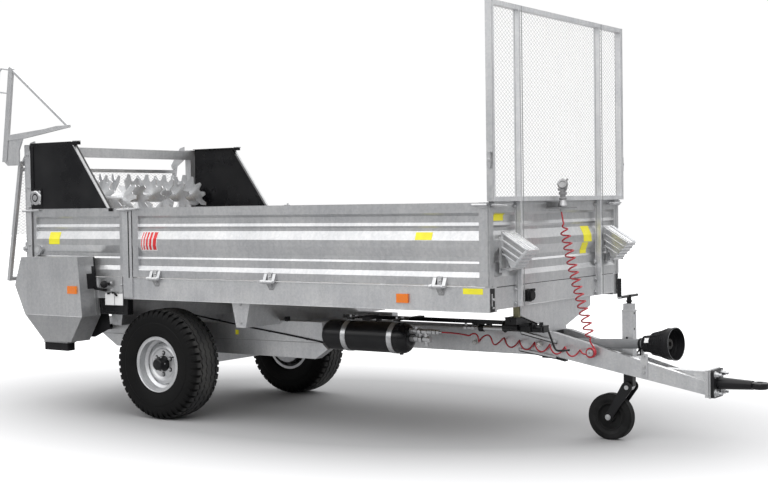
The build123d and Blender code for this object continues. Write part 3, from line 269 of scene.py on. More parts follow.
# %% [markdown]
# Galvanised sheet only looks like metal when it has something uneven to mirror. The floor and the backdrop are
# white, but what the metal mirrors is brighter overhead and greyer at the horizon, as in a studio with a lit
# ceiling, so the ribs get bright and dark bands. Three large soft lights add direction: a high key ahead of the
# machine, a long fill on the near side and a weaker one from behind.


# %% Node helpers
def feed(tree, node, inputs):
    """Gives each named input a value, or joins it to another node's output."""
    for name, value in inputs.items():
        if isinstance(value, bpy.types.NodeSocket):
            tree.links.new(value, node.inputs[name])
        else:
            node.inputs[name].default_value = value


def wire(tree, kind, inputs=None, **settings):
    """A new node with its settings and inputs."""
    node = tree.nodes.new(kind)
    for name, value in settings.items():
        setattr(node, name, value)
    feed(tree, node, inputs or {})
    return node


# %% Sky
world = bpy.data.worlds.new("studio")
world.use_nodes = True
sky = world.node_tree
height = wire(sky, "ShaderNodeSeparateXYZ", {"Vector": wire(sky, "ShaderNodeTexCoord").outputs["Generated"]})
bands = wire(sky, "ShaderNodeValToRGB", {"Fac": height.outputs["Z"]})
low, high = bands.color_ramp.elements
low.color, high.color, high.position = (0.16, 0.165, 0.17, 1), (1.85, 1.85, 1.85, 1), 0.60
bands.color_ramp.elements.new(0.16).color = (0.40, 0.405, 0.415, 1)
seen = wire(sky, "ShaderNodeLightPath").outputs["Is Camera Ray"]
backdrop = wire(sky, "ShaderNodeMix", {0: seen, 6: bands.outputs["Color"], 7: (0.92, 0.92, 0.92, 1)}, data_type="RGBA")
feed(sky, sky.nodes["Background"], {"Color": backdrop.outputs[2], "Strength": 1.1})
bpy.context.scene.world = world
bpy.context.scene.view_settings.view_transform = "Standard"

# %% Floor
REACH = 60
floor_mesh = bpy.data.meshes.new("floor")
corners = [(-REACH, -REACH, 0), (REACH, -REACH, 0), (REACH, REACH, 0), (-REACH, REACH, 0)]
floor_mesh.from_pydata(corners, [], [(0, 1, 2, 3)])
floor = bpy.data.objects.new("floor", floor_mesh)
bpy.context.scene.collection.objects.link(floor)
floor_paint = bpy.data.materials.new("floor_paint")
floor_paint.use_nodes = True
ground = floor_paint.node_tree
# the floor glows white, for camera rays only, outside an ellipse round the machine, longer than it is wide; the grey
# floor inside it is a painted shadow pool under the machine
SHADOW_POOL_X, SHADOW_POOL_Y = 3.2, 2.0
shadow_pool = wire(ground, "ShaderNodeMapping", {
    "Location": (-(AXLE_X + 1.0) / SHADOW_POOL_X, -0.15, 0), "Scale": (1 / SHADOW_POOL_X, 1 / SHADOW_POOL_Y, 0),
    "Vector": wire(ground, "ShaderNodeTexCoord").outputs["Object"]})
distance = wire(ground, "ShaderNodeVectorMath", {0: shadow_pool.outputs["Vector"]}, operation="LENGTH")
far = wire(ground, "ShaderNodeMapRange", {
    "From Min": 0.75, "From Max": 1.95, "To Max": 0.85, "Value": distance.outputs["Value"]})
seen = wire(ground, "ShaderNodeLightPath").outputs["Is Camera Ray"]
glow = wire(ground, "ShaderNodeMath", {0: far.outputs["Result"], 1: seen}, operation="MULTIPLY")
feed(ground, ground.nodes["Principled BSDF"], {
    "Base Color": (0.37, 0.37, 0.375, 1), "Roughness": 0.85, "Specular IOR Level": 0.1,
    "Emission Strength": glow.outputs["Value"], "Emission Color": (1, 1, 1, 1)})
floor.data.materials.append(floor_paint)


# %% Lamps
def soft_light(name, place, target, size, power):
    """A large rectangular lamp that faces a point."""
    lamp = bpy.data.lights.new(name, "AREA")
    lamp.shape, lamp.energy = "RECTANGLE", power
    lamp.size, lamp.size_y = size
    holder = bpy.data.objects.new(name, lamp)
    bpy.context.scene.collection.objects.link(holder)
    holder.location = place
    holder.rotation_euler = (Vector(target) - Vector(place)).to_track_quat("-Z", "Y").to_euler()


soft_light("key", (4.5, -5.5, 6.5), (0.0, 0.0, 0.8), (5.0, 4.0), 150)
soft_light("side_fill", (-4.5, -8.0, 4.0), (-0.5, 0.0, 1.0), (6.0, 3.0), 45)
soft_light("back_rim", (1.0, 8.0, 6.0), (0.0, 0.0, 1.0), (6.0, 3.0), 90)
# %% [markdown]
# The air hose is a curly one: it hangs from the parked coupling in close turns, goes twice round its pin on the
# drawbar, runs back stretched out in long waves, and its plain end goes to the tank. Its middle line is a smooth
# NURBS curve through a few points; the helix is then worked out round the points read from that curve, because a
# real curly hose is a straight tube wound on a rod, whose turns open where it is pulled.


# %% The hose's route
def route_line(name, *route):
    """Points read along a smooth curve through a route."""
    curve = bpy.data.curves.new(name, "CURVE")
    curve.dimensions, curve.resolution_u = "3D", 40
    spline = curve.splines.new("NURBS")
    spline.points.add(len(route) - 1)
    for point, place in zip(spline.points, route):
        point.co = (*at(*place), 1)
    spline.order_u, spline.use_endpoint_u = 3, True
    holder = bpy.data.objects.new(name, curve)
    bpy.context.scene.collection.objects.link(holder)
    graph = bpy.context.evaluated_depsgraph_get()
    line = [v.co.copy() for v in bpy.data.meshes.new_from_object(holder.evaluated_get(graph)).vertices]
    bpy.data.objects.remove(holder)
    return line


HOSE_RADIUS = 0.0055
PIN_X, PIN_Z = 3274.0, 604.0
drop_line = route_line(
    "hose_drop_route", (3028, -104, 1565), (3043, -111, 1490), (3092, -122, 1291), (3146, -134, 1088),
    (3190, -148, 954), (3234, -160, 821), (3264, -168, 722), (3274, -172, 640))
wave_line = route_line(
    "hose_wave_route", (3236, -184, 594), (3120, -186, 606), (2918, -187, 622), (2690, -187, 640),
    (2560, -206, 656), (2478, -290, 680), (2440, -385, 704))
tail_line = route_line(
    "hose_tail_route", (2440, -385, 704), (2421, -432.5, 716), (2412, -520, 730), (2400, -612, 742), (2350, -612, 742))
print("hose route points:", len(drop_line), len(wave_line), len(tail_line))


# %% Helix round the route
def length_of(points):
    """Length of a line of points."""
    return sum((b - a).length for a, b in zip(points, points[1:]))


def eased(value):
    """A smooth step from 0 to 1."""
    value = max(0.0, min(1.0, value))
    return value * value * (3 - 2 * value)


def wound(line, radius, pitch, straight_in, ease_in, ease_out, start_angle):
    """Helix round a line, straight and growing at its start and closing again at its end."""
    total = length_of(line)
    count = int(total / pitch * 26)
    points, travelled, i = [], 0.0, 0
    across = (line[1] - line[0]).orthogonal().normalized()
    for step in range(count + 1):
        distance = total * step / count
        while i < len(line) - 2 and travelled + (line[i + 1] - line[i]).length < distance:
            travelled += (line[i + 1] - line[i]).length
            i += 1
        along = (line[i + 1] - line[i]).normalized()
        across = (across - along * across.dot(along)).normalized()
        opened = eased((distance - straight_in) / ease_in) * eased((total - distance) / ease_out)
        angle = start_angle + 2 * math.pi * max(0.0, distance - straight_in) / pitch
        out = across * math.cos(angle) + along.cross(across) * math.sin(angle)
        points.append(line[i] + along * (distance - travelled) + out * radius * opened)
    return points


def bridged(before, after, reach, steps=10):
    """Smooth points between the end of one line and the start of the next."""
    a, d = before[-1], after[0]
    b = a + (a - before[-2]).normalized() * reach
    c = d - (after[1] - d).normalized() * reach
    return [a * (1 - t) ** 3 + b * 3 * t * (1 - t) ** 2 + c * 3 * t * t * (1 - t) + d * t ** 3
            for t in [k / steps for k in range(1, steps)]]


PIN_TURNS, PIN_STEPS = 2.25, 72
drop_turns = wound(drop_line[:-14], 0.0305, 0.051, 0.075, 0.10, 0.05, 2.1)
pin_turns = [at(PIN_X + 30.5 * math.cos(-2 * math.pi * PIN_TURNS * share), -160.0 - 25.0 * share,
                PIN_Z + 30.5 * math.sin(-2 * math.pi * PIN_TURNS * share))
             for share in [step / PIN_STEPS for step in range(PIN_STEPS + 1)]]
wave_turns = wound(wave_line, 0.0285, 0.117, 0.0, 0.06, 0.07, 0.6)
hose_path = drop_turns + bridged(drop_turns, pin_turns, 0.03) + pin_turns
hose_path += bridged(hose_path, wave_turns, 0.02) + wave_turns + tail_line[1:]
print("hose length", round(length_of(hose_path), 3), "m in", len(hose_path), "points")
# %% [markdown]
# Hot-dip zinc is never one grey: the bath leaves crystal cells a thumbnail wide, cloudy patches a hand wide, and
# runs. Two Voronoi scales and a slow noise change tone and roughness a little, so the sheet looks cast in zinc
# rather than painted. The same recipe, brighter or duller, serves every sheet, beam and rod of the machine.


# %% Material helpers
def bare_material(name, slot, colour, metallic=0.0, roughness=0.5, coat=0.0):
    """A Principled material that remembers the record's slot it stands for."""
    material = bpy.data.materials.new(name)
    material.use_nodes = True
    material["slot"] = slot
    material.diffuse_color = (*colour, 1)
    tree = material.node_tree
    shader = tree.nodes["Principled BSDF"]
    feed(tree, shader, {"Base Color": (*colour, 1), "Metallic": metallic, "Roughness": roughness,
                        "Coat Weight": coat, "Coat Roughness": 0.12})
    return material, tree, shader


def object_place(tree, scale=(1, 1, 1), location=(0, 0, 0)):
    """Object coordinates, moved and scaled."""
    place = wire(tree, "ShaderNodeTexCoord").outputs["Object"]
    return wire(tree, "ShaderNodeMapping", {"Vector": place, "Scale": scale, "Location": location}).outputs["Vector"]


def noise(tree, place, scale, detail=3.0, rough=0.55):
    """A cloudy pattern from 0 to 1."""
    return wire(tree, "ShaderNodeTexNoise", {"Vector": place, "Scale": scale, "Detail": detail,
                                             "Roughness": rough}).outputs["Fac"]


def ramp(tree, value, low, high, start=0.3, end=0.7):
    """A value spread between two limits or two colours."""
    if isinstance(low, float):
        return wire(tree, "ShaderNodeMapRange", {"Value": value, "From Min": start, "From Max": end, "To Min": low,
                                                 "To Max": high}).outputs["Result"]
    node = wire(tree, "ShaderNodeValToRGB", {"Fac": value})
    for stop, position, colour in zip(node.color_ramp.elements, (start, end), (low, high)):
        stop.position, stop.color = position, (*colour, 1)
    return node.outputs["Color"]


def times(tree, factor, first, second):
    """One colour darkened by another."""
    return wire(tree, "ShaderNodeMix", {0: factor, 6: first, 7: second}, data_type="RGBA",
                blend_type="MULTIPLY").outputs[2]


def bumped(tree, height, strength, distance=0.001):
    """Surface relief from a pattern."""
    relief = wire(tree, "ShaderNodeBump", {"Strength": strength, "Distance": distance, "Height": height})
    feed(tree, tree.nodes["Principled BSDF"], {"Normal": relief.outputs["Normal"]})


def grey(tone, warmth=0.0):
    """A grey, a little warmer or colder."""
    return tone + warmth, tone, tone - warmth


# %% Galvanised steel
def galvanised(name, slot, tone, cell, cloud, roughness, metallic=0.85):
    """Zinc with crystal cells, cloudy patches and a few dull runs."""
    material, tree, shader = bare_material(name, slot, (tone, tone * 1.01, tone * 1.02), metallic, roughness)
    place = object_place(tree)
    crystals = wire(tree, "ShaderNodeTexVoronoi", {"Vector": place, "Scale": 1 / cell})
    shade = wire(tree, "ShaderNodeRGBToBW", {"Color": crystals.outputs["Color"]}).outputs["Val"]
    spangle = ramp(tree, shade, (tone * 0.94, tone * 0.95, tone * 0.96), [tone * 1.05] * 3, 0.2, 0.8)
    patches = ramp(tree, noise(tree, place, cloud, 4.0), (0.84, 0.845, 0.86), (1, 1, 1), 0.32, 0.68)
    runs = noise(tree, object_place(tree, (9.0, 9.0, 0.8)), 3.0, 3.0)
    colour = times(tree, 0.5, times(tree, 1.0, spangle, patches),
                   ramp(tree, runs, (0.88, 0.88, 0.875), (1, 1, 1), 0.35, 0.6))
    feed(tree, shader, {"Base Color": colour,
                        "Roughness": ramp(tree, shade, roughness - 0.015, roughness + 0.03, 0.1, 0.9)})
    bumped(tree, noise(tree, place, 9.0, 2.0), 0.02)
    return material


zinc_beam = galvanised("zinc_beam", "galvanised", 0.64, 0.012, 3.5, 0.40)
zinc_sheet = galvanised("zinc_sheet", "galvanised_sheet", 0.60, 0.016, 2.2, 0.30)
# a darker, duller zinc: dull sheet on hinges, folds and rims, and painted shade along the front posts' edges and in the
# chock recesses
zinc_dull_and_shade = galvanised("zinc_dull_and_shade", "galvanised_sheet", 0.40, 0.014, 3.0, 0.44, 0.75)
zinc_frame = galvanised("zinc_frame", "galvanised", 0.64, 0.010, 5.0, 0.38)
zinc_bright = galvanised("zinc_bright", "galvanised", 0.80, 0.010, 5.0, 0.42)
zinc_mesh = galvanised("zinc_mesh", "galvanised", 0.56, 0.010, 5.0, 0.42, 0.5)
zinc_blade = galvanised("zinc_blade", "galvanised", 0.74, 0.014, 6.0, 0.33)
wheel_zinc = galvanised("wheel_zinc", "wheel_paint", 0.66, 0.012, 4.0, 0.37)
zinc_bolt = galvanised("zinc_bolt", "zinc_steel", 0.58, 0.006, 12.0, 0.30, 0.9)
print("zinc finishes:", len([m for m in bpy.data.materials if "zinc" in m.name]))

# %% [markdown]
# The painted and moulded pieces are dark and read by their highlights: gloss black enamel over steel, duller black
# plastic on the shaft guard, and rubber that greys where dust sits. Each gets relief or dust at its own scale.


# %% Paint, plastic and rubber
def speckled(name, slot, colour, dusty, roughness, scale, relief, coat=0.0, metallic=0.0, shine=0.5):
    """A finish with dust in patches and a fine grain."""
    material, tree, shader = bare_material(name, slot, colour, metallic, roughness, coat)
    place = object_place(tree)
    dust = noise(tree, place, scale, 5.0, 0.62)
    feed(tree, shader, {"Base Color": ramp(tree, dust, colour, dusty, 0.42, 0.78), "Specular IOR Level": shine,
                        "Roughness": ramp(tree, dust, roughness, min(1.0, roughness + 0.22), 0.4, 0.75)})
    bumped(tree, noise(tree, place, scale * 22, 3.0), relief)
    return material


black_gloss = speckled("black_gloss", "black_paint", (0.005, 0.005, 0.006), (0.010, 0.010, 0.011), 0.24, 3.0, 0.02,
                       0.15, shine=0.22)
black_mould = speckled("black_mould", "black_plastic", (0.007, 0.007, 0.008), (0.015, 0.015, 0.016), 0.42, 6.0, 0.08,
                       shine=0.2)
tyre_black = speckled("tyre_black", "tyre_rubber", (0.010, 0.010, 0.0105), (0.022, 0.0215, 0.021), 0.52, 5.0, 0.2,
                      shine=0.14)
rubber_black = speckled("rubber_black", "black_rubber", grey(0.008), grey(0.025), 0.6, 9.0, 0.2, shine=0.15)
worn_steel = speckled("worn_steel", "bare_steel", (0.34, 0.34, 0.345), (0.18, 0.178, 0.175), 0.38, 9.0, 0.1, 0.0, 0.9)
# steel darkened almost to black: painted shade on the shaft inside the cone guard and on the drive line under the
# machine
shade_dark_steel = speckled("shade_dark_steel", "bare_steel", grey(0.05), grey(0.085, 0.005), 0.4, 9.0, 0.08, 0.0, 0.7)
hose_red = speckled("hose_red", "red_hose", (0.34, 0.008, 0.018), (0.42, 0.025, 0.035), 0.32, 14.0, 0.05, 0.2)
white_label = speckled("white_label", "", grey(0.80), (0.70, 0.70, 0.69), 0.4, 6.0, 0.03)
yellow_label = speckled("yellow_label", "yellow_plastic", (0.78, 0.72, 0.02), (0.66, 0.58, 0.03), 0.38, 7.0, 0.03)
red_tape = speckled("red_tape", "", (0.62, 0.015, 0.02), (0.5, 0.02, 0.02), 0.32, 6.0, 0.03)
pale_plastic = speckled("pale_plastic", "", (0.62, 0.62, 0.6), (0.5, 0.5, 0.48), 0.4, 9.0, 0.06)
olive_post = speckled("olive_post", "olive_paint", (0.22, 0.21, 0.11), (0.32, 0.31, 0.22), 0.45, 7.0, 0.08)
guard_grey = speckled("guard_grey", "grey_plastic", (0.16, 0.165, 0.17), (0.24, 0.24, 0.245), 0.40, 6.0, 0.06)

# %% Lamp lenses
amber_lens, tree, shader = bare_material("amber_lens", "lamp_amber", (0.75, 0.18, 0.004), 0.0, 0.16, 0.4)
flutes = wire(tree, "ShaderNodeTexWave", {"Scale": 55.0, "Vector": object_place(tree)}).outputs["Fac"]
bumped(tree, flutes, 0.3, 0.002)
feed(tree, shader, {"Base Color": ramp(tree, flutes, (0.60, 0.12, 0.004), (0.82, 0.22, 0.008), 0.2, 0.8)})

# %% [markdown]
# The floor planks are weathered timber: long grain along the machine, darker between the boards. Noise stretched
# along X gives the grain, because planks are cut along the fibres and the machine's length is theirs.

# %% Timber
plank_wood, tree, shader = bare_material("plank_wood", "planks", (0.30, 0.22, 0.14), 0.0, 0.75)
grain = noise(tree, object_place(tree, (1.2, 34.0, 34.0)), 2.0, 5.0, 0.6)
seams = wire(tree, "ShaderNodeTexWave", {"Scale": 1.1, "Vector": object_place(tree)}, bands_direction="Y")
feed(tree, shader, {"Base Color": times(tree, 1.0, ramp(tree, grain, (0.16, 0.11, 0.07), (0.42, 0.33, 0.23)),
                                        ramp(tree, seams.outputs["Fac"], grey(0.25), (1, 1, 1), 0.0, 0.06))})
bumped(tree, grain, 0.4, 0.002)
print("materials:", len(bpy.data.materials))
# %% [markdown]
# Pieces whose CAD shape is already right keep it and only take a finish. The table below reads like a paint list:
# one finish, and the nodes that wear it. Left and right pieces share a finish, so a name without a side covers both.

# %% Finishes of the CAD pieces
PAINT_LIST = [
    (zinc_beam, "axle chassis_frame floor_frame front_gusset drawbar drawbar_head jack_tube mid_posts rear_frame "
                "chock_holders"),
    (zinc_dull_and_shade, "board_hinges"),
    (zinc_sheet, "tank_straps side_board rear_board front_wall drive_guard lever_panel"),
    (zinc_bright, "guard_frame"),
    (zinc_frame, "gate_frame gate_mesh guard_mesh gate_lever jack_leg pto_bracket"),
    (zinc_blade, "beater_upper beater_lower floor_slats wheel_chock"),
    (wheel_zinc, "rim"),
    (black_gloss, "hub beater_cheek tow_eye air_tank brake_valve brake_rod jockey_fork rear_gearbox pto_bearing"),
    (black_mould, "pto_cone"),
    (guard_grey, "pto_guard_tube"),
    (olive_post, "brake_post"),
    (worn_steel, "hose_hook coupling_head"),
    (shade_dark_steel, "pto_shaft drive_line"),
    (tyre_black, "tyre"),
    (rubber_black, "jockey_wheel"),
    (hose_red, "hose_coil hose_waves hose_tail"),
    (plank_wood, "floor_planks"),
    (amber_lens, "lamps"),
]
bare = set(nodes)
for finish, names in PAINT_LIST:
    for node in [name + side for name in names.split() for side in ("", "_right", "_left")]:
        if node in nodes:
            nodes[node].data.materials.clear()
            nodes[node].data.materials.append(finish)
            bare.discard(node)
print("painted", len(nodes) - len(bare), "nodes; bare:", sorted(bare))
# %% [markdown]
# An implement tyre of this size carries zigzag ribs in the middle, so it tracks straight behind a tractor, and
# short lugs at the shoulders, so it grips in a wet field. The tread is one grid laid round the carcass: its columns
# run round the tyre and follow the zigzag, so the groove edges fall on grid lines and stay crisp with few faces.

# %% Tyres
TREAD_PITCHES = 46
# share of one pitch, and whether the shoulder is cut there
PITCH_STEPS = [(0.0, 0), (0.08, 0), (0.28, 0), (0.5, 0), (0.56, 0), (0.60, 1), (0.74, 1), (0.90, 1), (0.94, 0)]
# share of half the width, drop below the crown, share of the zigzag, cut of the shoulder groove
TREAD_COLUMNS = [
    (-0.975, 0.056, 0.0, 0.004), (-0.965, 0.044, 0.0, 0.011), (-0.93, 0.029, 0.0, 0.014), (-0.875, 0.0165, 0.0, 0.015),
    (-0.80, 0.0095, 0.0, 0.015), (-0.70, 0.006, 0.1, 0.014), (-0.60, 0.0035, 0.4, 0.013), (-0.555, 0.003, 1.0, 0.0),
    (-0.545, 0.015, 1.0, 0.0), (-0.475, 0.015, 1.0, 0.0), (-0.465, 0.0015, 1.0, 0.0), (-0.33, 0.001, 1.0, 0.0),
    (-0.225, 0.0005, 1.0, 0.0), (-0.215, 0.013, 1.0, 0.0), (-0.155, 0.013, 1.0, 0.0), (-0.145, 0.0, 1.0, 0.0),
]
# share of half the width, height above the bead
SIDEWALL = [(-0.70, 0.000), (-0.78, 0.004), (-0.84, 0.018), (-0.87, 0.021), (-0.86, 0.026), (-0.90, 0.030),
            (-0.955, 0.060), (-0.985, 0.085), (-1.0, 0.112), (-1.0, 0.122), (-0.985, 0.126), (-0.99, 0.140),
            (-0.985, 0.160)]
BEAD_RADIUS, ZIGZAG = 0.1945, 0.045

# the crown of the ribs is lightened, partly road polish and partly painted highlight, and everything below it, grooves
# and sidewalls, is darkened, which is painted shade in the grooves
tree = tyre_black.node_tree
shader = tree.nodes["Principled BSDF"]
from_axle = object_place(tree, (1, 0, 1), (-AXLE_X, 0, -0.4225))
radius = wire(tree, "ShaderNodeVectorMath", {0: from_axle}, operation="LENGTH").outputs["Value"]
rib_wear_and_groove_shade = ramp(tree, radius, (0.3, 0.3, 0.3), (4.2, 4.2, 4.1), 0.4085, 0.4200)
feed(tree, shader, {"Base Color": times(tree, 1.0, shader.inputs["Base Color"].links[0].from_socket, rib_wear_and_groove_shade)})


def tyre_shape(node):
    """Grid of one tyre, bead to bead."""
    low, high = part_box(node)
    centre = middle(node)
    radius, half = (high[2] - low[2]) / 2, (high[1] - low[1]) / 2
    columns = TREAD_COLUMNS + [(-s, drop, -z, cut) for s, drop, z, cut in reversed(TREAD_COLUMNS)]
    wall = [(s, BEAD_RADIUS + rise) for s, rise in SIDEWALL]
    verts = []
    for pitch in range(TREAD_PITCHES):
        for share, cut_here in PITCH_STEPS:
            angle = 2 * math.pi * (pitch + share) / TREAD_PITCHES
            zigzag = ZIGZAG * (4 * abs(share - 0.5) - 1)
            tread = [(s + zigzag * abs(follow), radius - drop - cut * cut_here) for s, drop, follow, cut in columns]
            row = wall + tread + [(-s, r) for s, r in reversed(wall)]
            verts += [(centre[0] + r * math.cos(angle), centre[1] + s * half, centre[2] + r * math.sin(angle))
                      for s, r in row]
    return joined(verts, len(row), loop=True)


for side in ("right", "left"):
    tyre = add("tyre_tread_" + side, [tyre_shape("tyre_" + side)], tyre_black, "wheel_" + side, smooth=True)
    tyre.data.set_sharp_from_angle(angle=math.radians(28))
    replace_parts(tyre, "tyre_" + side)
    print(tyre.name, len(tyre.data.polygons), "faces")

# %% [markdown]
# The wheel is a well-base rim with a pressed disc: a bright bead flange, a deep barrel, and a flat disc whose
# ventilation slots near the edge show the dark inside. The rim's CAD solid is right, so it stays; slots, studs and
# the hub's flange bolts are added in front of it, set out on circles by a loop as on a drilling jig.

# %% Wheel discs and studs
SLOT = [(0.143, -0.115), (0.151, -0.14), (0.160, -0.115), (0.160, 0.115), (0.151, 0.14), (0.143, 0.115)]
RIM_LIP = [(0.108, 0.2125), (0.1125, 0.2155), (0.1205, 0.2165), (0.1245, 0.2125), (0.1215, 0.2085), (0.113, 0.2065)]
DISC_RING = [(0.0535, 0.112), (0.060, 0.117), (0.064, 0.126), (0.060, 0.134), (0.052, 0.138)]
HUB_CAP = [(0.084, 0.0555), (0.089, 0.0545), (0.097, 0.0465), (0.121, 0.0435), (0.1265, 0.040), (0.1285, 0.033),
           (0.1285, TINY)]
WELL = [(0.0, TINY), (0.0, 0.0175), (0.0015, 0.0175), (0.0015, 0.0120)]
for side, sign in (("right", -1), ("left", 1)):
    body = "wheel_" + side
    centre, out = at(0, sign * 802.5, 422.5), Vector((0, sign, 0))
    slots, studs, wells = [], [], []
    for i in range(8):
        # an arched slot hugging the barrel, drawn as a thin dark plate on the disc: painted shade of the dark inside
        turn = 0.2 + math.pi * i / 4
        slots.append(joined([centre + Vector((r * math.cos(turn + spread), depth, r * math.sin(turn + spread)))
                             for depth in (sign * 0.026, sign * 0.0475) for r, spread in SLOT], len(SLOT)))
    for x, z in circle(0.082, 6, 0.5):
        seat = centre + Vector((x, 0, z)) + out * 0.052
        # each stud sits in a thin dark disc, painted shade of the opening round it
        wells.append(turned(WELL, seat, out, 20))
        studs += [bolt(seat + out * 0.0012, out, 21, 14, False), rod(seat, seat + out * 0.024, 0.0062, 10)]
    add("wheel_slots_" + side, slots, rubber_black, body)
    add("wheel_stud_wells_" + side, wells, rubber_black, body)
    add("wheel_studs_" + side, studs, zinc_bolt, body)
    lip = [turned(RIM_LIP, centre, out, 72, True), turned(DISC_RING, centre, out, 72)]
    add("rim_lip_" + side, lip, wheel_zinc, body, smooth=True)
    add("hub_cap_" + side, [turned(HUB_CAP, centre, out, 48)], black_gloss, body, smooth=True)
    cap_bolts = [bolt(centre + Vector((x, 0, z)) + out * 0.0885, out, 10, 6, False) for x, z in circle(0.0505, 5, 0.1)]
    add("hub_cap_bolts_" + side, cap_bolts, zinc_bolt, body)
    valve = centre + Vector((0.125, 0, 0.06)) + out * 0.045
    add("tyre_valve_" + side, [rod(valve, valve + out * 0.035 + Vector((-0.012, 0, -0.006)), 0.0045, 10)],
        rubber_black, body)
print("wheels dressed")
# %% [markdown]
# The guard and the rear gate are filled with expanded metal: a sheet slit and pulled open into rows of diamonds. A
# Geometry Nodes tree makes it from one diamond, because the sheet is nothing but that cell repeated: a grid of
# points, a kite-shaped curve with a flat profile on each, then the copies made real and given their zinc.

# %% Expanded-metal tree
metal_tree = bpy.data.node_groups.new("expanded_metal", "GeometryNodeTree")
sockets = {}
for name, kind, default in (("Width", "Float", 1.0), ("Height", "Float", 1.0), ("Columns", "Int", 10),
                            ("Rows", "Int", 10), ("Strand", "Float", 0.002), ("Thickness", "Float", 0.002)):
    socket = metal_tree.interface.new_socket(name, in_out="INPUT", socket_type="NodeSocket" + kind)
    socket.default_value = default
    sockets[name] = socket.identifier
metal_tree.interface.new_socket("Geometry", in_out="OUTPUT", socket_type="NodeSocketGeometry")
given = metal_tree.nodes.new("NodeGroupInput").outputs


def maths(operation, first, second):
    """A sum in the tree."""
    return wire(metal_tree, "ShaderNodeMath", {0: first, 1: second}, operation=operation).outputs[0]


pitch_x = maths("DIVIDE", given["Width"], given["Columns"])
pitch_y = maths("DIVIDE", given["Height"], given["Rows"])
grid = wire(metal_tree, "GeometryNodeMeshGrid", {
    "Size X": maths("SUBTRACT", given["Width"], pitch_x), "Size Y": maths("SUBTRACT", given["Height"], pitch_y),
    "Vertices X": given["Columns"], "Vertices Y": given["Rows"]})
kite = wire(metal_tree, "GeometryNodeCurvePrimitiveQuadrilateral", mode="KITE")
half = maths("MULTIPLY", pitch_y, 0.5)
for socket in kite.inputs:
    if socket.name == "Width" and socket.enabled:
        metal_tree.links.new(pitch_x, socket)
    if socket.name in ("Bottom Height", "Top Height"):
        metal_tree.links.new(half, socket)
flat = wire(metal_tree, "GeometryNodeCurvePrimitiveQuadrilateral", {
    "Height": given["Thickness"], "Width": given["Strand"]})
strands = wire(metal_tree, "GeometryNodeCurveToMesh", {
    "Curve": kite.outputs["Curve"], "Profile Curve": flat.outputs["Curve"]})
copies = wire(metal_tree, "GeometryNodeInstanceOnPoints", {
    "Points": grid.outputs["Mesh"], "Instance": strands.outputs["Mesh"]})
real = wire(metal_tree, "GeometryNodeRealizeInstances", {"Geometry": copies.outputs["Instances"]})
zinc = wire(metal_tree, "GeometryNodeSetMaterial", {"Material": zinc_mesh, "Geometry": real.outputs["Geometry"]})
wire(metal_tree, "NodeGroupOutput", {"Geometry": zinc.outputs["Geometry"]})


def expanded_metal(name, origin, up, body, stands_for, **sizes):
    """A flat sheet grown by the tree and seated across the machine by its middle and its upward direction."""
    holder = bpy.data.objects.new(name + "_maker", bpy.data.meshes.new(name + "_maker"))
    bpy.context.scene.collection.objects.link(holder)
    modifier = holder.modifiers.new("grow", "NODES")
    modifier.node_group = metal_tree
    for key, value in sizes.items():
        modifier[sockets[key]] = value
    graph = bpy.context.evaluated_depsgraph_get()
    graph.update()
    mesh = bpy.data.meshes.new_from_object(holder.evaluated_get(graph))
    holder.modifiers.clear()
    bpy.data.objects.remove(holder)
    mesh.name = name
    across = Vector((0, 1, 0))
    turn = Matrix((across, up, across.cross(up))).transposed().to_4x4()
    mesh.transform(Matrix.Translation(Vector(origin)) @ turn)
    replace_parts(dress(bpy.data.objects.new(name, mesh), zinc_mesh, body), stands_for)
    print(name, len(mesh.polygons), "faces")


LEAN = math.radians(10.2)
expanded_metal("guard_metal", at(2953, 0, 2266.5), Vector((0, 0, 1)), "chassis", "guard_mesh",
               Width=1.916, Height=1.213, Columns=44, Rows=43, Strand=0.0013, Thickness=0.0019)
expanded_metal("gate_metal", middle("gate_mesh"), Vector((math.sin(LEAN), 0, math.cos(LEAN))), "rear_gate", "gate_mesh",
               Width=1.802, Height=0.891, Columns=37, Rows=34, Strand=0.0016, Thickness=0.0019)
# %% [markdown]
# Each beater is a tube with saw-toothed flights of plate wound round it, left-handed on one half and right-handed on
# the other, so that it throws the load evenly to both sides. One flight is a strip that climbs along the tube while
# it turns; the outer edge steps between tip and notch. A table of starts sets the flights out.

# %% Beaters
FLIGHT_TURN = math.radians(168)
FLIGHT_STEPS = 24  # four to a tooth
FLIGHTS, FLIGHT_CLIMB, FLIGHT_REACH = 10, 0.110, 0.80
ROOT, NOTCH, TIP, HALF_PLATE = 0.043, 0.150, 0.201, 0.0035


def flight(centre, start_y, start_angle, hand):
    """One toothed flight round the beater's axis."""
    verts = []
    for step in range(FLIGHT_STEPS + 1):
        share = step / FLIGHT_STEPS
        angle = start_angle + FLIGHT_TURN * share
        edge = TIP if step % 4 in (1, 2) else NOTCH
        for radius, side in ((ROOT, -HALF_PLATE), (edge, -HALF_PLATE), (edge, HALF_PLATE), (ROOT, HALF_PLATE)):
            y = start_y + hand * FLIGHT_CLIMB * share + side + hand * 0.06 * (radius - ROOT)
            verts.append(Vector((centre.x + radius * math.cos(angle), y, centre.z + radius * math.sin(angle))))
    return joined(verts, 4)


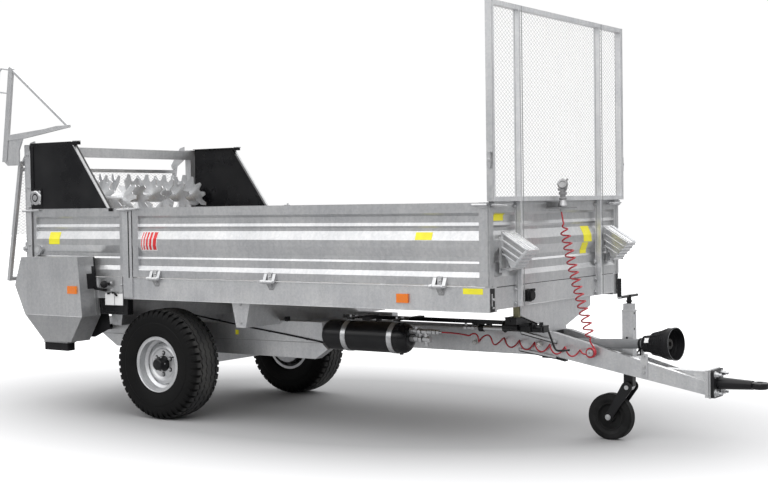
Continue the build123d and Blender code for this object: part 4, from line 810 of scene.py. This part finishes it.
for node, body, first_angle in (("beater_upper", "beater_top", 0.35), ("beater_lower", "beater_bottom", 1.2)):
    centre = at(-1247, 0, 0)
    centre.z = middle(node)[2]
    shaft_end = Vector((0, 0.989, 0))
    shapes = [turned([(-0.905, 0.0225), (-0.905, 0.045), (0.905, 0.045), (0.905, 0.0225)], centre, steps=40),
              rod(centre - shaft_end, centre + shaft_end, 0.0218, 24)]
    for end in (-0.895, 0.895):
        collar = [(-0.008, 0.044), (-0.008, 0.078), (0.008, 0.078), (0.008, 0.044)]
        shapes.append(turned(collar, centre + Vector((0, end, 0)), steps=32))
    for i in range(FLIGHTS):
        y = -FLIGHT_REACH + 2 * FLIGHT_REACH * i / (FLIGHTS - 1)
        hand = 1 if y < 0 else -1
        for half_turn in (0, math.pi):
            shapes.append(flight(centre, y - hand * FLIGHT_CLIMB / 2, first_angle + i * 0.95 + half_turn, hand))
    beater = add(node + "_flights", shapes, zinc_blade, body)
    beater.data.set_sharp_from_angle(angle=math.radians(30))
    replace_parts(beater, node)
    print(beater.name, len(beater.data.polygons), "faces")
# %% [markdown]
# The boards are rolled sections with a flat flange welded over each end, which closes the ribs and carries the
# latches. Small pieces like these are the difference between a bare box and a built one: flanges, the hooks that
# hold the boards shut, the handles on the posts, and bolts in rows where two sheets meet. Each piece is a short table
# of plates, bars and bolts, one row for each.

# %% Board ends and seams
both_sides("drop_side_ends", plates((2888, 2952.5, -978.6, -951, 1091, 1620.5), (
    -181, -122, -978.6, -951, 1091, 1620.5)), zinc_sheet, 0.002, DROP_SIDES)
both_sides("rear_board_ends", plates((-1292.5, -1262, -978.6, -951, 1091, 1620.5), (
    -318, -285, -978.6, -951, 1091, 1620.5)), zinc_sheet, 0.002)
both_sides("front_wall_ends", plates((2925, 2954.6, -943, -905, 1091, 1620.5)), zinc_sheet, 0.002)
# dark strips of painted shade: one in the gap between each mid-post and its board, one as a shade line on the post's
# face
both_sides("board_gap_shades", plates((-187.5, -182.5, -974, -940, 1094, 1618), (-225, -214, -982.8, -975, 1084, 1608)),
           black_mould)
both_sides("corner_posts", plates((2925, 2960, -968, -945, 1078, 1621), (2954.2, 2957.5, -968, -934, 1078, 1630)),
           zinc_sheet, 0.0015)
both_sides("rail_lips", plates((-1370, 2950, -972.5, -969.5, 1074, 1081.5), (-1370, 2950, -972, -969.5, 919, 924), (
    2951, 2955, -966, -872, 924, 1078)), zinc_beam, 0.001)

# %% Hinge clips and latches
straps, clips, shades = [], [], []
for x in (60.0, 1175.0, 2595.0):
    straps += plates((x - 17, x + 17, -992, -978, 1094, 1150), (x - 21, x + 21, -986, -978, 1094, 1112))
    straps += rods("x", (x - 74, x - 50, -997, 1083, 15, 16), (x - 50, x + 34, -997, 1083, 12.6, 16))
    straps += rods("y", (-1008, -992, x + 6, 1118, 6, 10))
    shades += plates((x - 27, x - 17.5, -979, -978, 1094, 1146), (x + 21.5, x + 27, -979, -978, 1094, 1130))
    clips += plates((x - 22, x + 22, -980, -969.5, 1036, 1066)) + rods("y", (-980, -987, x, 1050, 8))
both_sides("hinge_straps", straps, zinc_frame, 0.001, DROP_SIDES)
both_sides("hinge_shades", shades, black_mould, bodies=DROP_SIDES)
both_sides("hinge_clips", clips, zinc_bolt)
latches = []
# the rear latch lies closer to the post, because the gate's lever swings past it
for x, y in ((-236, -1002), (-1330, -990)):
    latches += plates((x - 26, x + 26, y + 2, -979.5, 1592, 1628), (x + 46, x + 128, y - 9, y + 4, 1602, 1618))
    latches += rods("z", (1596, 1640, x, y, 8)) + [slanted_rod((x - 78, y, 1606), (x + 112, y - 1, 1612), 9, 14)]
both_sides("post_latches", latches, zinc_bolt, 0.0015)
corner = plates((2955, 2985, -940, -850, 1590, 1626), (2980, 2996, -830, -742, 1594, 1610), (
    2900, 2962, -999, -980, 1590, 1626)) + rods("z", (1585, 1645, 2975, -930, 8))
corner += rods("x", (2850, 2962, -1000, 1608, 9, 14)) + [slanted_rod((2978, -968, 1608), (2990, -800, 1600), 9, 14)]
both_sides("corner_latches", corner, zinc_bolt, 0.0015)
both_sides("drop_side_blocks", plates((-420, -386, -990, -979, 1596, 1621)), black_mould)
print("latches and hinges done")
# %% [markdown]
# The black cheeks are plain sheet, so their trimmed edges and the beater bearings do all the work of making them
# read as plates. The strip along the slope is the folded edge where the zinc was left bare; the bearing is a flanged
# housing with its bolts in a ring, and the post behind it carries the bolts and rollers that guide the gate.

# %% Cheeks, bearings and rear posts
(foot_x, foot_z), (crown_x, crown_z) = (-439, 1621.5), (-829, 2152)


def slope_strip(ahead, behind, y0, y1):
    """A strip along a cheek's sloping edge, in the side view."""
    return upright([(foot_x + ahead, foot_z), (crown_x + ahead, crown_z), (crown_x - behind, crown_z), (
        foot_x - behind, foot_z)], y0, y1)


both_sides("cheek_edges", [slope_strip(0, 7, -982.5, -979.6), slope_strip(2.5, 2, -982, -958)], zinc_dull_and_shade, 0.0008)
both_sides("cheek_caps", plates((-829, -764, -988, -940, 2126, 2150), (-1308, -829, -982.5, -979.5, 2132, 2153)),
           black_gloss, 0.002)
both_sides("cheek_clips", plates((-812, -752, -986, -950, 2150, 2158), (-1330, -1309, -992, -978, 2098, 2142)),
           zinc_bolt, 0.0015)
BEARING_X, BEARING_Z = -1247, 1712
both_sides("bearing_flanges", rods("y", (-980, -987, BEARING_X, BEARING_Z, 70, 40), (
    -992, -996.5, BEARING_X, BEARING_Z, 34, 32)), black_gloss, 0.0015)
housing = [turned([(0, 0.034), (0, 0.060), (0.006, 0.057), (0.012, 0.048), (0.012, 0.034)], at(
    BEARING_X, -986.5, BEARING_Z), RIGHTWARD, 40, True)] + rods("y", (-990, -1000.5, BEARING_X, BEARING_Z, 23, 24))
housing += bolts(RIGHTWARD, *[(BEARING_X + x, -987, BEARING_Z + z, 15, 7.5) for x, z in circle(63, 4, 0.8)])
both_sides("beater_bearings", housing, zinc_bolt, 0.001)
both_sides("gate_channels", plates((-1306, -1272, -986, -980, 1790, 2126)), black_gloss, 0.002)
both_sides("bearing_plates", plates((-1306, -1176, -984, -980, 1640, 1785)), black_gloss, 0.001)
rollers = bolts(RIGHTWARD, *[(-1344, -980.5, z, 18, 9) for z in (1330, 1795, 2060)])
rollers += rods("y", (-992, -930, -1392, 1300, 19, 20), (-998, -992, -1392, 1300, 11))
rollers += plates((-1398, -1377, -978, -950, 1272, 1352), (-1412, -1377, -950, -944, 1262, 1340))
both_sides("post_rollers", rollers, zinc_bolt, 0.001)
# flat bar over the lever's brace, and the folds of its mast
add("lever_brace", [upright([(-1476, 2748), (-1464, 2764), (-822, 2281), (-834, 2265)], -1023, -1005), upright([
    (-1556, 2010), (-1548, 2010), (-1450, 2764), (-1456, 2768)], -1027, -1025)], zinc_frame, "rear_gate", 0.001)
both_sides("post_edges", plates((-1377.5, -1370, -982.5, -978, 1082, 2143), (-1318, -1311, -982.5, -978, 1082, 2143)),
           zinc_frame)

# %% [markdown]
# The drive guard is one folded sheet. Its lower facet and its front wall are drawn darker than the big face:
# thin overlays in duller zinc lie on them and draw the folds. A stepped slot in the front wall lets the feed lever
# through to its panel of two hinged plates; the slot is a thin dark plate, painted shade of the opening.


# %% Drive guards, feed lever and outlet
def guard_front(outline, lift):
    """An outline (y, z) laid on the guard's front wall, which leans as it drops."""
    return joined([at(-592 + (1247 - z) * 40 / 463 + out, y, z) for out in (0.0, lift) for y, z in outline],
                  len(outline))


both_sides("guard_facets", [upright([(-1200, 784.5), (-554, 782), (-681, 585), (-976, 579)], -1166.4, -1165)],
           zinc_dull_and_shade)
both_sides("guard_fronts", [guard_front([(-1163, 1245), (-987, 1245), (-987, 786), (-1163, 786)], 1.0)], zinc_dull_and_shade)
both_sides("guard_slots", [guard_front([(-987, 1240), (-1002, 1240), (-1002, 1170), (-1028, 1170), (-1028, 1114), (
    -1084, 1114), (-1084, 996), (-987, 996)], 2.4)], black_mould)
both_sides("guard_seams", [slanted_rod((-1203, -1166, 785), (-553, -1166, 783.5), 2.4, 8), guard_front([
    (-1020, 990), (-1014, 990), (-1014, 790), (-1020, 790)], 3.0)], zinc_sheet)
both_sides("guard_outlets", plates((-1010, -745, -1142, -1062, 509, 582)), black_mould, 0.006)
both_sides("guard_outlet_rims", plates((-1014, -741, -1146, -1058, 570, 579)), zinc_dull_and_shade, 0.002)
# a black box drawn as the feed gearbox, large and dark so that it also paints the shade under the floor
both_sides("feed_gearbox_shades", plates((-640, -262, -965, -900, 795, 919), (-500, -300, -968.5, -930, 812, 868)),
           black_gloss, 0.004)
# dark sheets behind the guards: painted shade of the machine's underside
both_sides("underside_shade_sheets", [upright([(-1180, 900), (-1180, 790), (-985, 596), (-690, 602), (-522, 676), (-545, 900)],
                                   -905, -898)], black_mould)
lever = rods("y", (-979, -1014, -443, 1032, 13, 16), (-984, -1006, -432, 960, 8), (-984, -1004, -384, 966, 8))
lever += [slanted_rod((-640, -1010, 1006), (-452, -1004, 984), 11, 14), slanted_rod((-366, -1000, 966), (
    -340, -1000, 944), 8), turned(ball(0.029, 14), at(-443, -1030, 1032), steps=28)]
add("feed_lever", lever, black_mould, smooth=True)
add("feed_labels", plates((-482, -384, -986.5, -984, 868, 960), (-376, -290, -986.5, -984, 870, 958)), white_label,
    bevel=0.001)
add("feed_panel_bolts", bolts(RIGHTWARD, (-305, -984, 1026, 15, 8), (-305, -984, 975, 13, 7), (
    -418, -984, 1040, 17, 9), (-412, -984, 985, 17, 9)) + plates((-382.5, -377.5, -986, -984, 870, 1070)), zinc_bolt)
print("rear pieces done")
# %% [markdown]
# Under the floor the likeness sits in small hardware: the cable that runs forward along the chassis beam, the
# tank's unions, the hand-brake body with its crank, and two clip rails for the hose. They are simple solids set
# against the CAD faces; dark ones take black enamel, machined ones bright zinc.

# %% Chassis beams and outriggers
both_sides("beam_folds", [slanted_rod((-1010, -500.5, 586), (1288, -500.5, 606), 2.2, 8)], zinc_dull_and_shade)
cable = [(-257, -506, 807), (140, -506, 752), (573, -506, 696), (930, -506, 656), (1271, -506, 613), (1420, -520, 600)]
add("brake_cable", [tube(bent([at(*place) for place in cable], 0.10), 0.0062, 10)], black_mould, smooth=True)
add("cable_lug", plates((922, 942, -512, -470, 755, 789)) + rods("y", (-520, -505, 932, 776, 9)), black_gloss)
both_sides("outrigger_bolts", bolts(RIGHTWARD, *[(x, -898, z, 17, 8) for x, z in (
    (824, 905), (824, 772), (-446, 905), (-446, 745))]), zinc_bolt)
add("cable_clips", plates(*[(x, x + 24, -509, -500, z - 7, z + 7) for x, z in (
    (250, 738), (760, 673), (1120, 630))]), black_gloss)

# %% Air tank and its unions
arm_covers, strap_bolts = [], []
for x in (1608, 2003):
    arm_covers += plates((x - 21.5, x + 21.5, -628, -289, 808, 820), (x - 21.5, x + 21.5, -627.5, -596.5, 801.5, 809))
    strap_bolts += rods("z", (819, 836, x, -612, 8)) + bolts(UPWARD, (x, -540, 820, 20, 12))
add("strap_arms", arm_covers, black_gloss)
add("strap_bolts", strap_bolts, zinc_bolt)
UPPER, LOWER = (-612, 742), (-612, 689)  # the two lines of nuts and sleeves ahead of the tank
unions = rods("x", *[(x0, x1, *line, radius, count) for line, row in (
    (UPPER, ((2112, 2138, 22, 6), (2142, 2176, 18, 18), (2182, 2206, 23, 6), (2212, 2252, 18, 6), (2258, 2296, 20, 18),
             (2300, 2326, 21, 6), (2330, 2352, 17, 6))),
    (LOWER, ((2118, 2144, 25, 6), (2150, 2184, 21, 18), (2190, 2216, 26, 6), (2222, 2262, 20, 18),
             (2262, 2282, 23, 6))),
) for x0, x1, radius, count in row])
unions += rods("y", (-640, -612, 2200, 742, 13, 6)) + rods(
    "z", (689, 742, 2194, -612, 15, 6), (655, 742, 2244, -612, 14, 14), (640, 658, 2244, -612, 19, 6),
    (742, 770, 2162, -612, 15, 6), (768, 776, 2162, -612, 19, 6))
add("tank_unions", unions, zinc_bolt, bevel=0.0012)
add("tank_plugs", rods("x", (2095, 2119, *LOWER, 30, 24), (1394, 1410, *LOWER, 20, 20)) + rods(
    "z", (590, 572, 2040, -612, 14, 6)), black_gloss)

# %% Hand brake and valve
CYLINDER = (-306, 752)  # y and z of the spring cylinder's middle line
brake = rods("x", (2706, 2822, -348, 776, 28, 28), (2830, 2910, -344, 800, 24, 24), (2935, 3004, -346, 764, 20, 20), (
    2490, 2530, *CYLINDER, 25, 24), (2690, 2700, *CYLINDER, 25, 24)) + rods("y", (-572, -560, 2868, 832, 13, 6))
brake += rods("z", (855, 872, 2904, -470, 12, 6), (855, 868, 2850, -420, 15, 6), (790, 812, 2990, -338, 14, 14))
brake += plates((2716, 2760, -352, -340, 742, 806), (2866, 2916, -354, -344, 744, 792), (
    2835, 2926, -568, -350, 850, 858))
add("brake_fittings", brake, black_gloss, bevel=0.0015)
add("brake_cylinder", rods("x", (2528, 2691, *CYLINDER, 20, 24), (2368, 2392, *CYLINDER, 17, 6), (
    2396, 2424, *CYLINDER, 14, 6), (2428, 2452, *CYLINDER, 18, 6), (2452, 2492, *CYLINDER, 11, 12)) + rods(
    "z", (752, 784, 2380, -306, 9, 6), (752, 784, 2440, -306, 9, 6)), zinc_bolt)
crank = [at(x, -240, z) for x, z in ((2984, 762), (2992, 744), (3046, 610), (3150, 622))]
add("brake_crank", [tube(bent(crank, 0.03), 0.0072, 12)], black_gloss, smooth=True)
add("crank_hub", rods("y", (-268, -232, 2984, 762, 13, 20), (-232, -226, 2984, 762, 8)), zinc_bolt)

# %% Clip rails and hose clips on the drawbar
rails = []
# the shades are black strips of painted shade under each rail and at its end, with a dark plate below the beam
shades = [upright([(2893, 566), (2975, 566), (3067, 546), (3067, 530), (2975, 548), (2893, 548)], -148, -100)]
for (xa, za), (xb, zb) in (((2737, 719), (3008, 664)), ((2722, 600), (3006, 559))):
    rails.append(upright([(xa, za + 8), (xb, zb + 8), (xb, zb - 9), (xa, za - 9)], -163, -144))
    shades.append(upright([(xa, za - 9), (xb, zb - 9), (xb, zb - 15), (xa, za - 15)], -161, -144))
    shades.append(upright([(xa - 4, za + 8), (xa + 60, za - 4), (xa + 60, za - 9), (xa - 4, za - 9)], -160, -144))
add("clip_rails", rails, zinc_sheet, bevel=0.002)
add("clip_shades", shades, black_gloss)
for x, z in ((2366, 632), (2876, 640)):
    add("hose_clip_" + str(x), [turned(ball(0.016, 12, 1e-5), at(x, -172, z), steps=20)] + rods(
        "y", (-170, -144, x, z, 6)) + plates((x - 16, x + 16, -147, -144, z - 18, z + 18)), pale_plastic)
print("underframe done")
# %% [markdown]
# The front end carries the smallest parts nearest the eye: the sill that closes the guard against the wall, the
# bright lip of the front beam, the clamped posts, the open corners with their catch, and the ribbed wheel chocks
# that stand in their holders. Chocks are moulded with ribs on both faces and teeth under the ramp.

# %% Guard sill, beam lip and post bolts
add("guard_sill", plates((2951.5, 2958, -948, 948, 1606, 1632), (2954, 2966, -948, 948, 1618, 1622)), zinc_frame,
    bevel=0.001)
add("beam_lips", plates((2951, 2958.5, -872, 872, 934, 941), (2953, 2956, -872, 872, 1072, 1076)), zinc_sheet,
    bevel=0.001)
add("beam_seam", plates((2954, 2955.2, -872, 872, 1076, 1081)), black_gloss)
faces, edges, nuts = [], [], []
for y in (-600, 600):
    faces += plates((2995, 2998.6, y - 20.8, y - 13, 942, 2900), (2964, 2998.6, y - 22, y - 19.8, 942, 2900))
    edges += plates((2995, 2999.2, y + 15, y + 20.6, 942, 2900), (2964, 2968, y - 22.8, y - 20, 942, 2900))
    for z in (958, 1052, 1180, 1600):
        nuts += bolts(FORWARD, (2960, y - 34, z, 17, 9)) + plates((2954, 2960, y - 46, y - 20, z - 14, z + 14))
add("post_trim", faces, zinc_bright, bevel=0.0008)
# the edge strips are darker zinc: painted shade along the narrow sides of the front posts
add("post_edges", edges, zinc_dull_and_shade, bevel=0.0008)
add("post_nuts", nuts, zinc_bolt)
both_sides("guard_edges", plates((2951, 2998.5, -979.5, -976, 1632, 2904), (2951, 2954, -979, -948, 1640, 2903)),
           zinc_sheet)
both_sides("guard_hooks", plates((2972, 2990, -1000, -979, 1842, 1852), (2972, 2990, -1004, -996, 1842, 1944), (
    2972, 2990, -1000, -979, 1934, 1944)) + bolts(RIGHTWARD, (2981, -1004, 1893, 15, 6)), zinc_bolt, 0.001)

# %% Open corners, catch and socket
# thin black plates at the open corners: painted shade of the gap beside the corner post
both_sides("corner_gap_shades", plates((2953, 2956.4, -959, -905, 924, 1074)), black_gloss)
both_sides("corner_catches", plates((2955, 2962, -948, -936, 960, 1040), (2955, 2968, -944, -924, 944, 956), (
    2955, 2960, -905, -899, 926, 1072)) + rods("x", (2960, 2976, -938, 1004, 9, 12)), zinc_bolt, 0.001)
add("light_socket", rods("x", (2954, 2978, -457, 1002, 43, 32), (2978, 2996, -457, 1002, 34, 32)) + plates(
    (2954, 2962, -512, -402, 962, 1042), (2990, 3002, -478, -436, 1030, 1048)), black_mould, bevel=0.002)

# %% Wheel chocks
TOP_EDGE = ((2970, 1437), (3165, 1317))
RAMP = ((3165, 1317), (3045, 1190))


def beside(edge, *spots):
    """Places in the side view, each a share of the way along an edge and a distance inward from it."""
    (xa, za), (xb, zb) = edge
    run, rise = xb - xa, zb - za
    long = math.hypot(run, rise)
    return [(xa + run * share + rise / long * inward, za + rise * share - run / long * inward)
            for share, inward in spots]


ribs, hollow_shades = [], []
for depth in (5, 44, 84, 118):
    start, end = 0.03 + depth * 0.0027, 0.97 - depth * 0.0010
    rib = beside(TOP_EDGE, (start, depth - 5), (end, depth - 5), (end - 0.01, depth + 5), (start + 0.02, depth + 5))
    ribs += [upright(rib, *limits) for limits in ((-843, -835), (-685, -677))]
for share in (0.08, 0.26, 0.44, 0.62, 0.80):
    ribs.append(upright(beside(RAMP, (share, 0.5), (share + 0.10, 0.5), (share + 0.05, -9)), -832, -688))
for y in (-820, -790, -730, -700):
    ribs.append(upright(beside(TOP_EDGE, (0.04, 0.5), (0.98, 0.5), (0.97, -7), (0.05, -7)), y - 5, y + 5))
both_sides("chock_ribs", ribs, zinc_blade, 0.001)
# thin darker plates between the ribs: painted shade in the recesses
for depth in (24, 64, 100):
    start, end = 0.06 + depth * 0.0027, 0.94 - depth * 0.0010
    hollow_shades.append(upright(beside(TOP_EDGE, (start, depth - 12), (end, depth - 12), (end - 0.02, depth + 12), (
        start + 0.05, depth + 12)), -836, -835))
both_sides("chock_hollow_shades", hollow_shades, zinc_dull_and_shade)
both_sides("chock_clips", plates((2970, 2978, -842, -678, 1318, 1334), (2968, 2990, -768, -752, 1184, 1240), (
    2970, 3052, -846, -841, 1186, 1200)) + rods("y", (-846, -674, 2990, 1322, 6), (-850, -670, 3020, 1206, 8, 14)),
           zinc_bolt)

# %% Parked hose coupling
CUP_X, CUP_Y = 3042.0, -104.0
neck = [(0, TINY), (0, 0.031), (0.012, 0.034), (0.050, 0.021), (0.051, 0.025), (0.066, 0.026), (0.068, 0.018), (
    0.084, 0.019), (0.086, 0.027), (0.104, 0.028), (0.106, 0.019), (0.128, 0.020), (0.130, TINY)]
head = [(-0.030, TINY), (-0.034, 0.022), (-0.028, 0.033), (0.014, 0.036), (0.022, 0.030), (0.030, 0.028), (
    0.030, 0.020), (0.024, 0.018), (0.024, TINY)]
coupling = plates((2954, 3054, -184, 86, 1575, 1583), (2954, 2960, -184, 86, 1583, 1622))
coupling += [turned(neck, at(CUP_X, CUP_Y, 1583), UPWARD, 28),
             turned(head, at(CUP_X, CUP_Y, 1738), (0.36, -0.90, 0.20), 36),
             slanted_rod((CUP_X - 4, CUP_Y + 18, 1752), (CUP_X + 8, CUP_Y + 20, 1768), 24, 28),
             slanted_rod((CUP_X - 34, CUP_Y + 2, 1706), (CUP_X + 30, CUP_Y - 6, 1712), 13, 6),
             *plates((CUP_X - 12, CUP_X + 20, CUP_Y - 20, CUP_Y + 16, 1694, 1710)),
             slanted_rod((CUP_X, CUP_Y, 1742), (CUP_X + 36, CUP_Y + 8, 1776), 7)]
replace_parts(add("coupling_dress", coupling, worn_steel, bevel=0.001), "coupling_head")
# embossed diamonds of the tread plate the coupling stands on
add("coupling_tread", plates(*[(2962 + 15 * i, 2974 + 15 * i, y, y + 4, 1583, 1585) for i in range(6) for y in range(
    -178, 82, 14)]), worn_steel)
print("front pieces done")
# %% [markdown]
# The drawbar's front end: a shaft guard of grey tube with a ribbed black cone, the jack with its cranked handle, the
# swivel of the jockey wheel, and the bolted tow eye. Each dressing part rides on the body it belongs to, so the
# crank rises with the jack's screw and the fork's boss turns with the fork.

# %% Shaft guard
CONE = at(3632, -97, 674)
ahead = (CONE - at(3012, 0, 640)).normalized()
aside = ahead.cross(Vector(UPWARD)).normalized()
above = aside.cross(ahead).normalized()


def band(start, width, inner, outer, steps):
    """A ring round the shaft from a distance ahead of the cone's rear end, in millimetres."""
    corners = [(0, inner), (0, outer), (width, outer), (width, inner)]
    profile = [(along / 1000, radius / 1000) for along, radius in corners]
    return turned(profile, CONE + ahead * start / 1000, ahead, steps, True)


add("cone_rings", [band(start, width, radius - 8, radius, 48) for start, width, radius in (
    (2, 10, 55), (24, 7, 56.5), (44, 9, 59), (72, 6, 75), (92, 5, 78.5), (112, 5, 82), (131, 6, 87.5), (150, 5, 94),
    (168, 5, 100), (186, 6, 104.5), (224, 12, 108.5))], black_mould)
add("cone_rim_line", [band(236.1, 1.2, 104.5, 106.2, 64)], guard_grey)
# lengthwise ribs of the flare
fins = []
for across, up in circle(1, 16):
    out = aside * across + above * up
    half = ahead.cross(out) * 0.0022
    fins.append(joined([CONE + ahead * along + out * (radius + lift) + half * s
                        for along, radius in ((0.070, 0.074), (0.130, 0.086), (0.185, 0.1045))
                        for s, lift in ((-1, -0.004), (-1, 0.0012), (1, 0.0012), (1, -0.004))], 4))
add("cone_fins", fins, black_mould)
out = (aside * 0.90 + above * 0.43).normalized()
spot = CONE + ahead * 0.054 + out * 0.0600
add("cone_label", [joined([spot + ahead * a + ahead.cross(out) * b + out * lift for lift in (0, 0.006) for a, b in (
    (-0.020, -0.016), (0.022, -0.016), (0.022, 0.016), (-0.020, 0.016))], 4)], white_label)
add("guard_clamp", [band(-34, 14, 34, 38.5, 36), slanted_rod((3606, -134, 632), (3606, -122, 640), 9, 12), slanted_rod(
    (3606, -128, 632), (3588, -128, 618), 6, 10)] + rods("z", (600, 644, 3612, -128, 6, 10)), black_mould)
bracket_face = middle("pto_bracket")[1] * 1000 - 15
add("bracket_bolts", bolts(RIGHTWARD, *[(3629, bracket_face, z, 17, 9) for z in (482, 520, 592)]), zinc_bolt)

# %% Jack and crank
jack_x = middle("jack_tube")[0] * 1000 - AXLE_X * 1000
# the holes are thin dark discs, painted shade of the openings
add("jack_holes", rods("x", *[(jack_x + 38, jack_x + 38.6, -4, z, 8, 16) for z in (866, 760)]) + rods(
    "y", (-32.6, -32, jack_x - 4, 700, 8, 16)), black_mould)
add("jack_collar", plates((jack_x - 40, jack_x + 40, -34, 34, 878, 888.5), (
    jack_x - 52, jack_x + 44, -36, -32, 640, 668)) + bolts(RIGHTWARD, (jack_x - 46, -36, 654, 15, 8)), zinc_sheet,
    bevel=0.001)
add("jack_crank", rods("y", (-166, 132, jack_x, 981, 9.6, 14)) + rods(
    "z", (929.5, 990, jack_x, 0, 15.5, 20), (985, 1107, jack_x, -155, 14.6, 20), (940, 952, jack_x, 0, 20, 20)),
    black_gloss, "jack_screw")
add("jack_leg_paint", plates(*[(jack_x - 32.9, jack_x + 32.9, -26.9, 26.9, *limits) for limits in (
    (402, 558), (372, 402))]), black_gloss, "jack_screw")

# %% Jockey wheel swivel
PIVOT_Z, WHEEL_X, WHEEL_Z = 368, jack_x - 135, 158
boss = [turned([(0, 0.016), (0, 0.036), (0.0025, 0.036), (0.004, 0.033), (0.004, 0.016)], at(
    jack_x, -56.2, PIVOT_Z), RIGHTWARD, 36, True),
        slanted_rod((jack_x - 14, -60, 394), (jack_x - 33, -60, 372), 3.5, 10),
        turned([(0, 0.016), (0, 0.036), (0.004, 0.036), (0.004, 0.016)], at(jack_x, 56, PIVOT_Z), steps=36,
               closed=True)]
add("fork_boss", boss, black_gloss, "jockey_pivot")
add("fork_pins", rods("y", (-60.5, -57, jack_x, PIVOT_Z, 15, 24), (-62, -56, WHEEL_X, WHEEL_Z, 18, 24)) + bolts(
    RIGHTWARD, (WHEEL_X, -60.2, WHEEL_Z, 24, 9)), zinc_bolt, "jockey_pivot")
tread = [turned([(-0.005, 0.150), (-0.005, 0.1585), (0.005, 0.1585), (0.005, 0.150)], at(WHEEL_X, y, WHEEL_Z),
                steps=64, closed=True) for y in (-24, -8, 8, 24)]
tread += [turned([(0, 0.084), (0.004 * side, 0.088), (0.004 * side, 0.093), (0, 0.097)],
                 at(WHEEL_X, 31 * side, WHEEL_Z), steps=56, closed=True) for side in (-1, 1)]
add("jockey_tread", tread, rubber_black, "jockey_roller")

# %% Tow eye bolts
add("head_edge", plates((4064, 4077, -89.5, 89.5, 338.8, 525), (4062, 4066, -101, 101, 344, 523)), zinc_sheet,
    bevel=0.004, segments=2)
eye_bolts = []
for y, z in ((-60, 372), (-60, 492), (60, 372), (60, 492)):
    eye_bolts += bolts(FORWARD, (4098, y, z, 30, 14), (4112, y, z, 28, 11, False))
    eye_bolts += bolts((-1, 0, 0), (4044, y, z, 28, 12)) + rods("x", (4120, 4142, y, z, 9.5, 14))
add("tow_eye_bolts", eye_bolts, zinc_bolt)
print("drawbar pieces done")
# %% Curly hose
hose = add("curly_hose", [tube(hose_path, HOSE_RADIUS, 10)], hose_red, smooth=True)
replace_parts(hose, "hose_coil", "hose_waves", "hose_tail")
add("hose_bobbin", [turned([(0.0, TINY), (0.0, 0.0235), (0.030, 0.0235), (0.030, 0.019), (0.036, 0.017), (
    0.036, TINY)], at(PIN_X, -158, PIN_Z), RIGHTWARD, 32)], zinc_bolt)
add("hose_ferrules", [slanted_rod((3028, -104, 1585), (3029, -104.5, 1552), 7.8, 14)] + rods(
    "x", (2349, 2372, -612, 742, 8.5, 14)), zinc_bolt)
# %% [markdown]
# Stickers follow the sheet they are stuck on. A strip of quads takes the board's own profile, so the same short
# function lays the red stripes over the broad rib and the yellow plates on the boards. All of them are left blank.

# %% Stripes and blank plates
# height above a board's bottom edge, and how far the skin stands out there, in millimetres
PROFILE = [(0, 28), (54, 28), (88, 12), (142, 12), (156, 4), (183, 4), (244, 28), (291, 28), (352, 4), (372, 4),
           (386, 14), (407, 6), (450, 6), (468, 28), (531, 28)]
BOARD_FOOT = 1090


def skin(height):
    """How far a board's skin stands out at a height."""
    up = height - BOARD_FOOT
    return next(a + (b - a) * (up - za) / (zb - za) for (za, a), (zb, b) in zip(PROFILE, PROFILE[1:]) if za <= up <= zb)


def sticker(low, high, z0, z1, lean=0.0, front=False, lift=1.4):
    """A thin sheet on a side board (low and high along X) or on the front wall (low and high along Y)."""
    verts = []
    for height in [z0] + [BOARD_FOOT + z for z, _ in PROFILE if z0 < BOARD_FOOT + z < z1] + [z1]:
        shift = lean * (height - z0) / (z1 - z0)
        for place, out in ((low, 0.2), (high, 0.2), (high, lift), (low, lift)):
            place, depth = place + shift, skin(height) + out
            verts.append(at(2926 + depth, place, height) if front else at(place, -950 - depth, height))
    return joined(verts, 4)


stripes, margins, start = [], [], -92
for width in (9, 13, 18, 24, 34):
    stripes.append(sticker(start, start + width, 1300, 1434, 14, lift=1.8))
    margins.append(sticker(start - 5, start + width + 5, 1295, 1439, 14, lift=1.2))
    start += width + 14
add("red_stripes", stripes, red_tape, "drop_side_right")
add("stripe_margins", margins, white_label, "drop_side_right")
add("rear_plate", [sticker(-1113, -990, 1338, 1435)], yellow_label)
add("band_plate", [sticker(2400, 2530, 1384, 1434)], yellow_label, "drop_side_right")
add("front_plates", [sticker(392, 520, 1330, 1443, -14, True), sticker(372, 470, 1247, 1326, 0, True), sticker(
    -868, -744, 1505, 1551, 0, True)], yellow_label)
add("rail_plates", plates((2761, 2909, -971.4, -970, 1036, 1074), (426, 458, -501.6, -500, 634, 670)), yellow_label)
print("labels done; all blank")
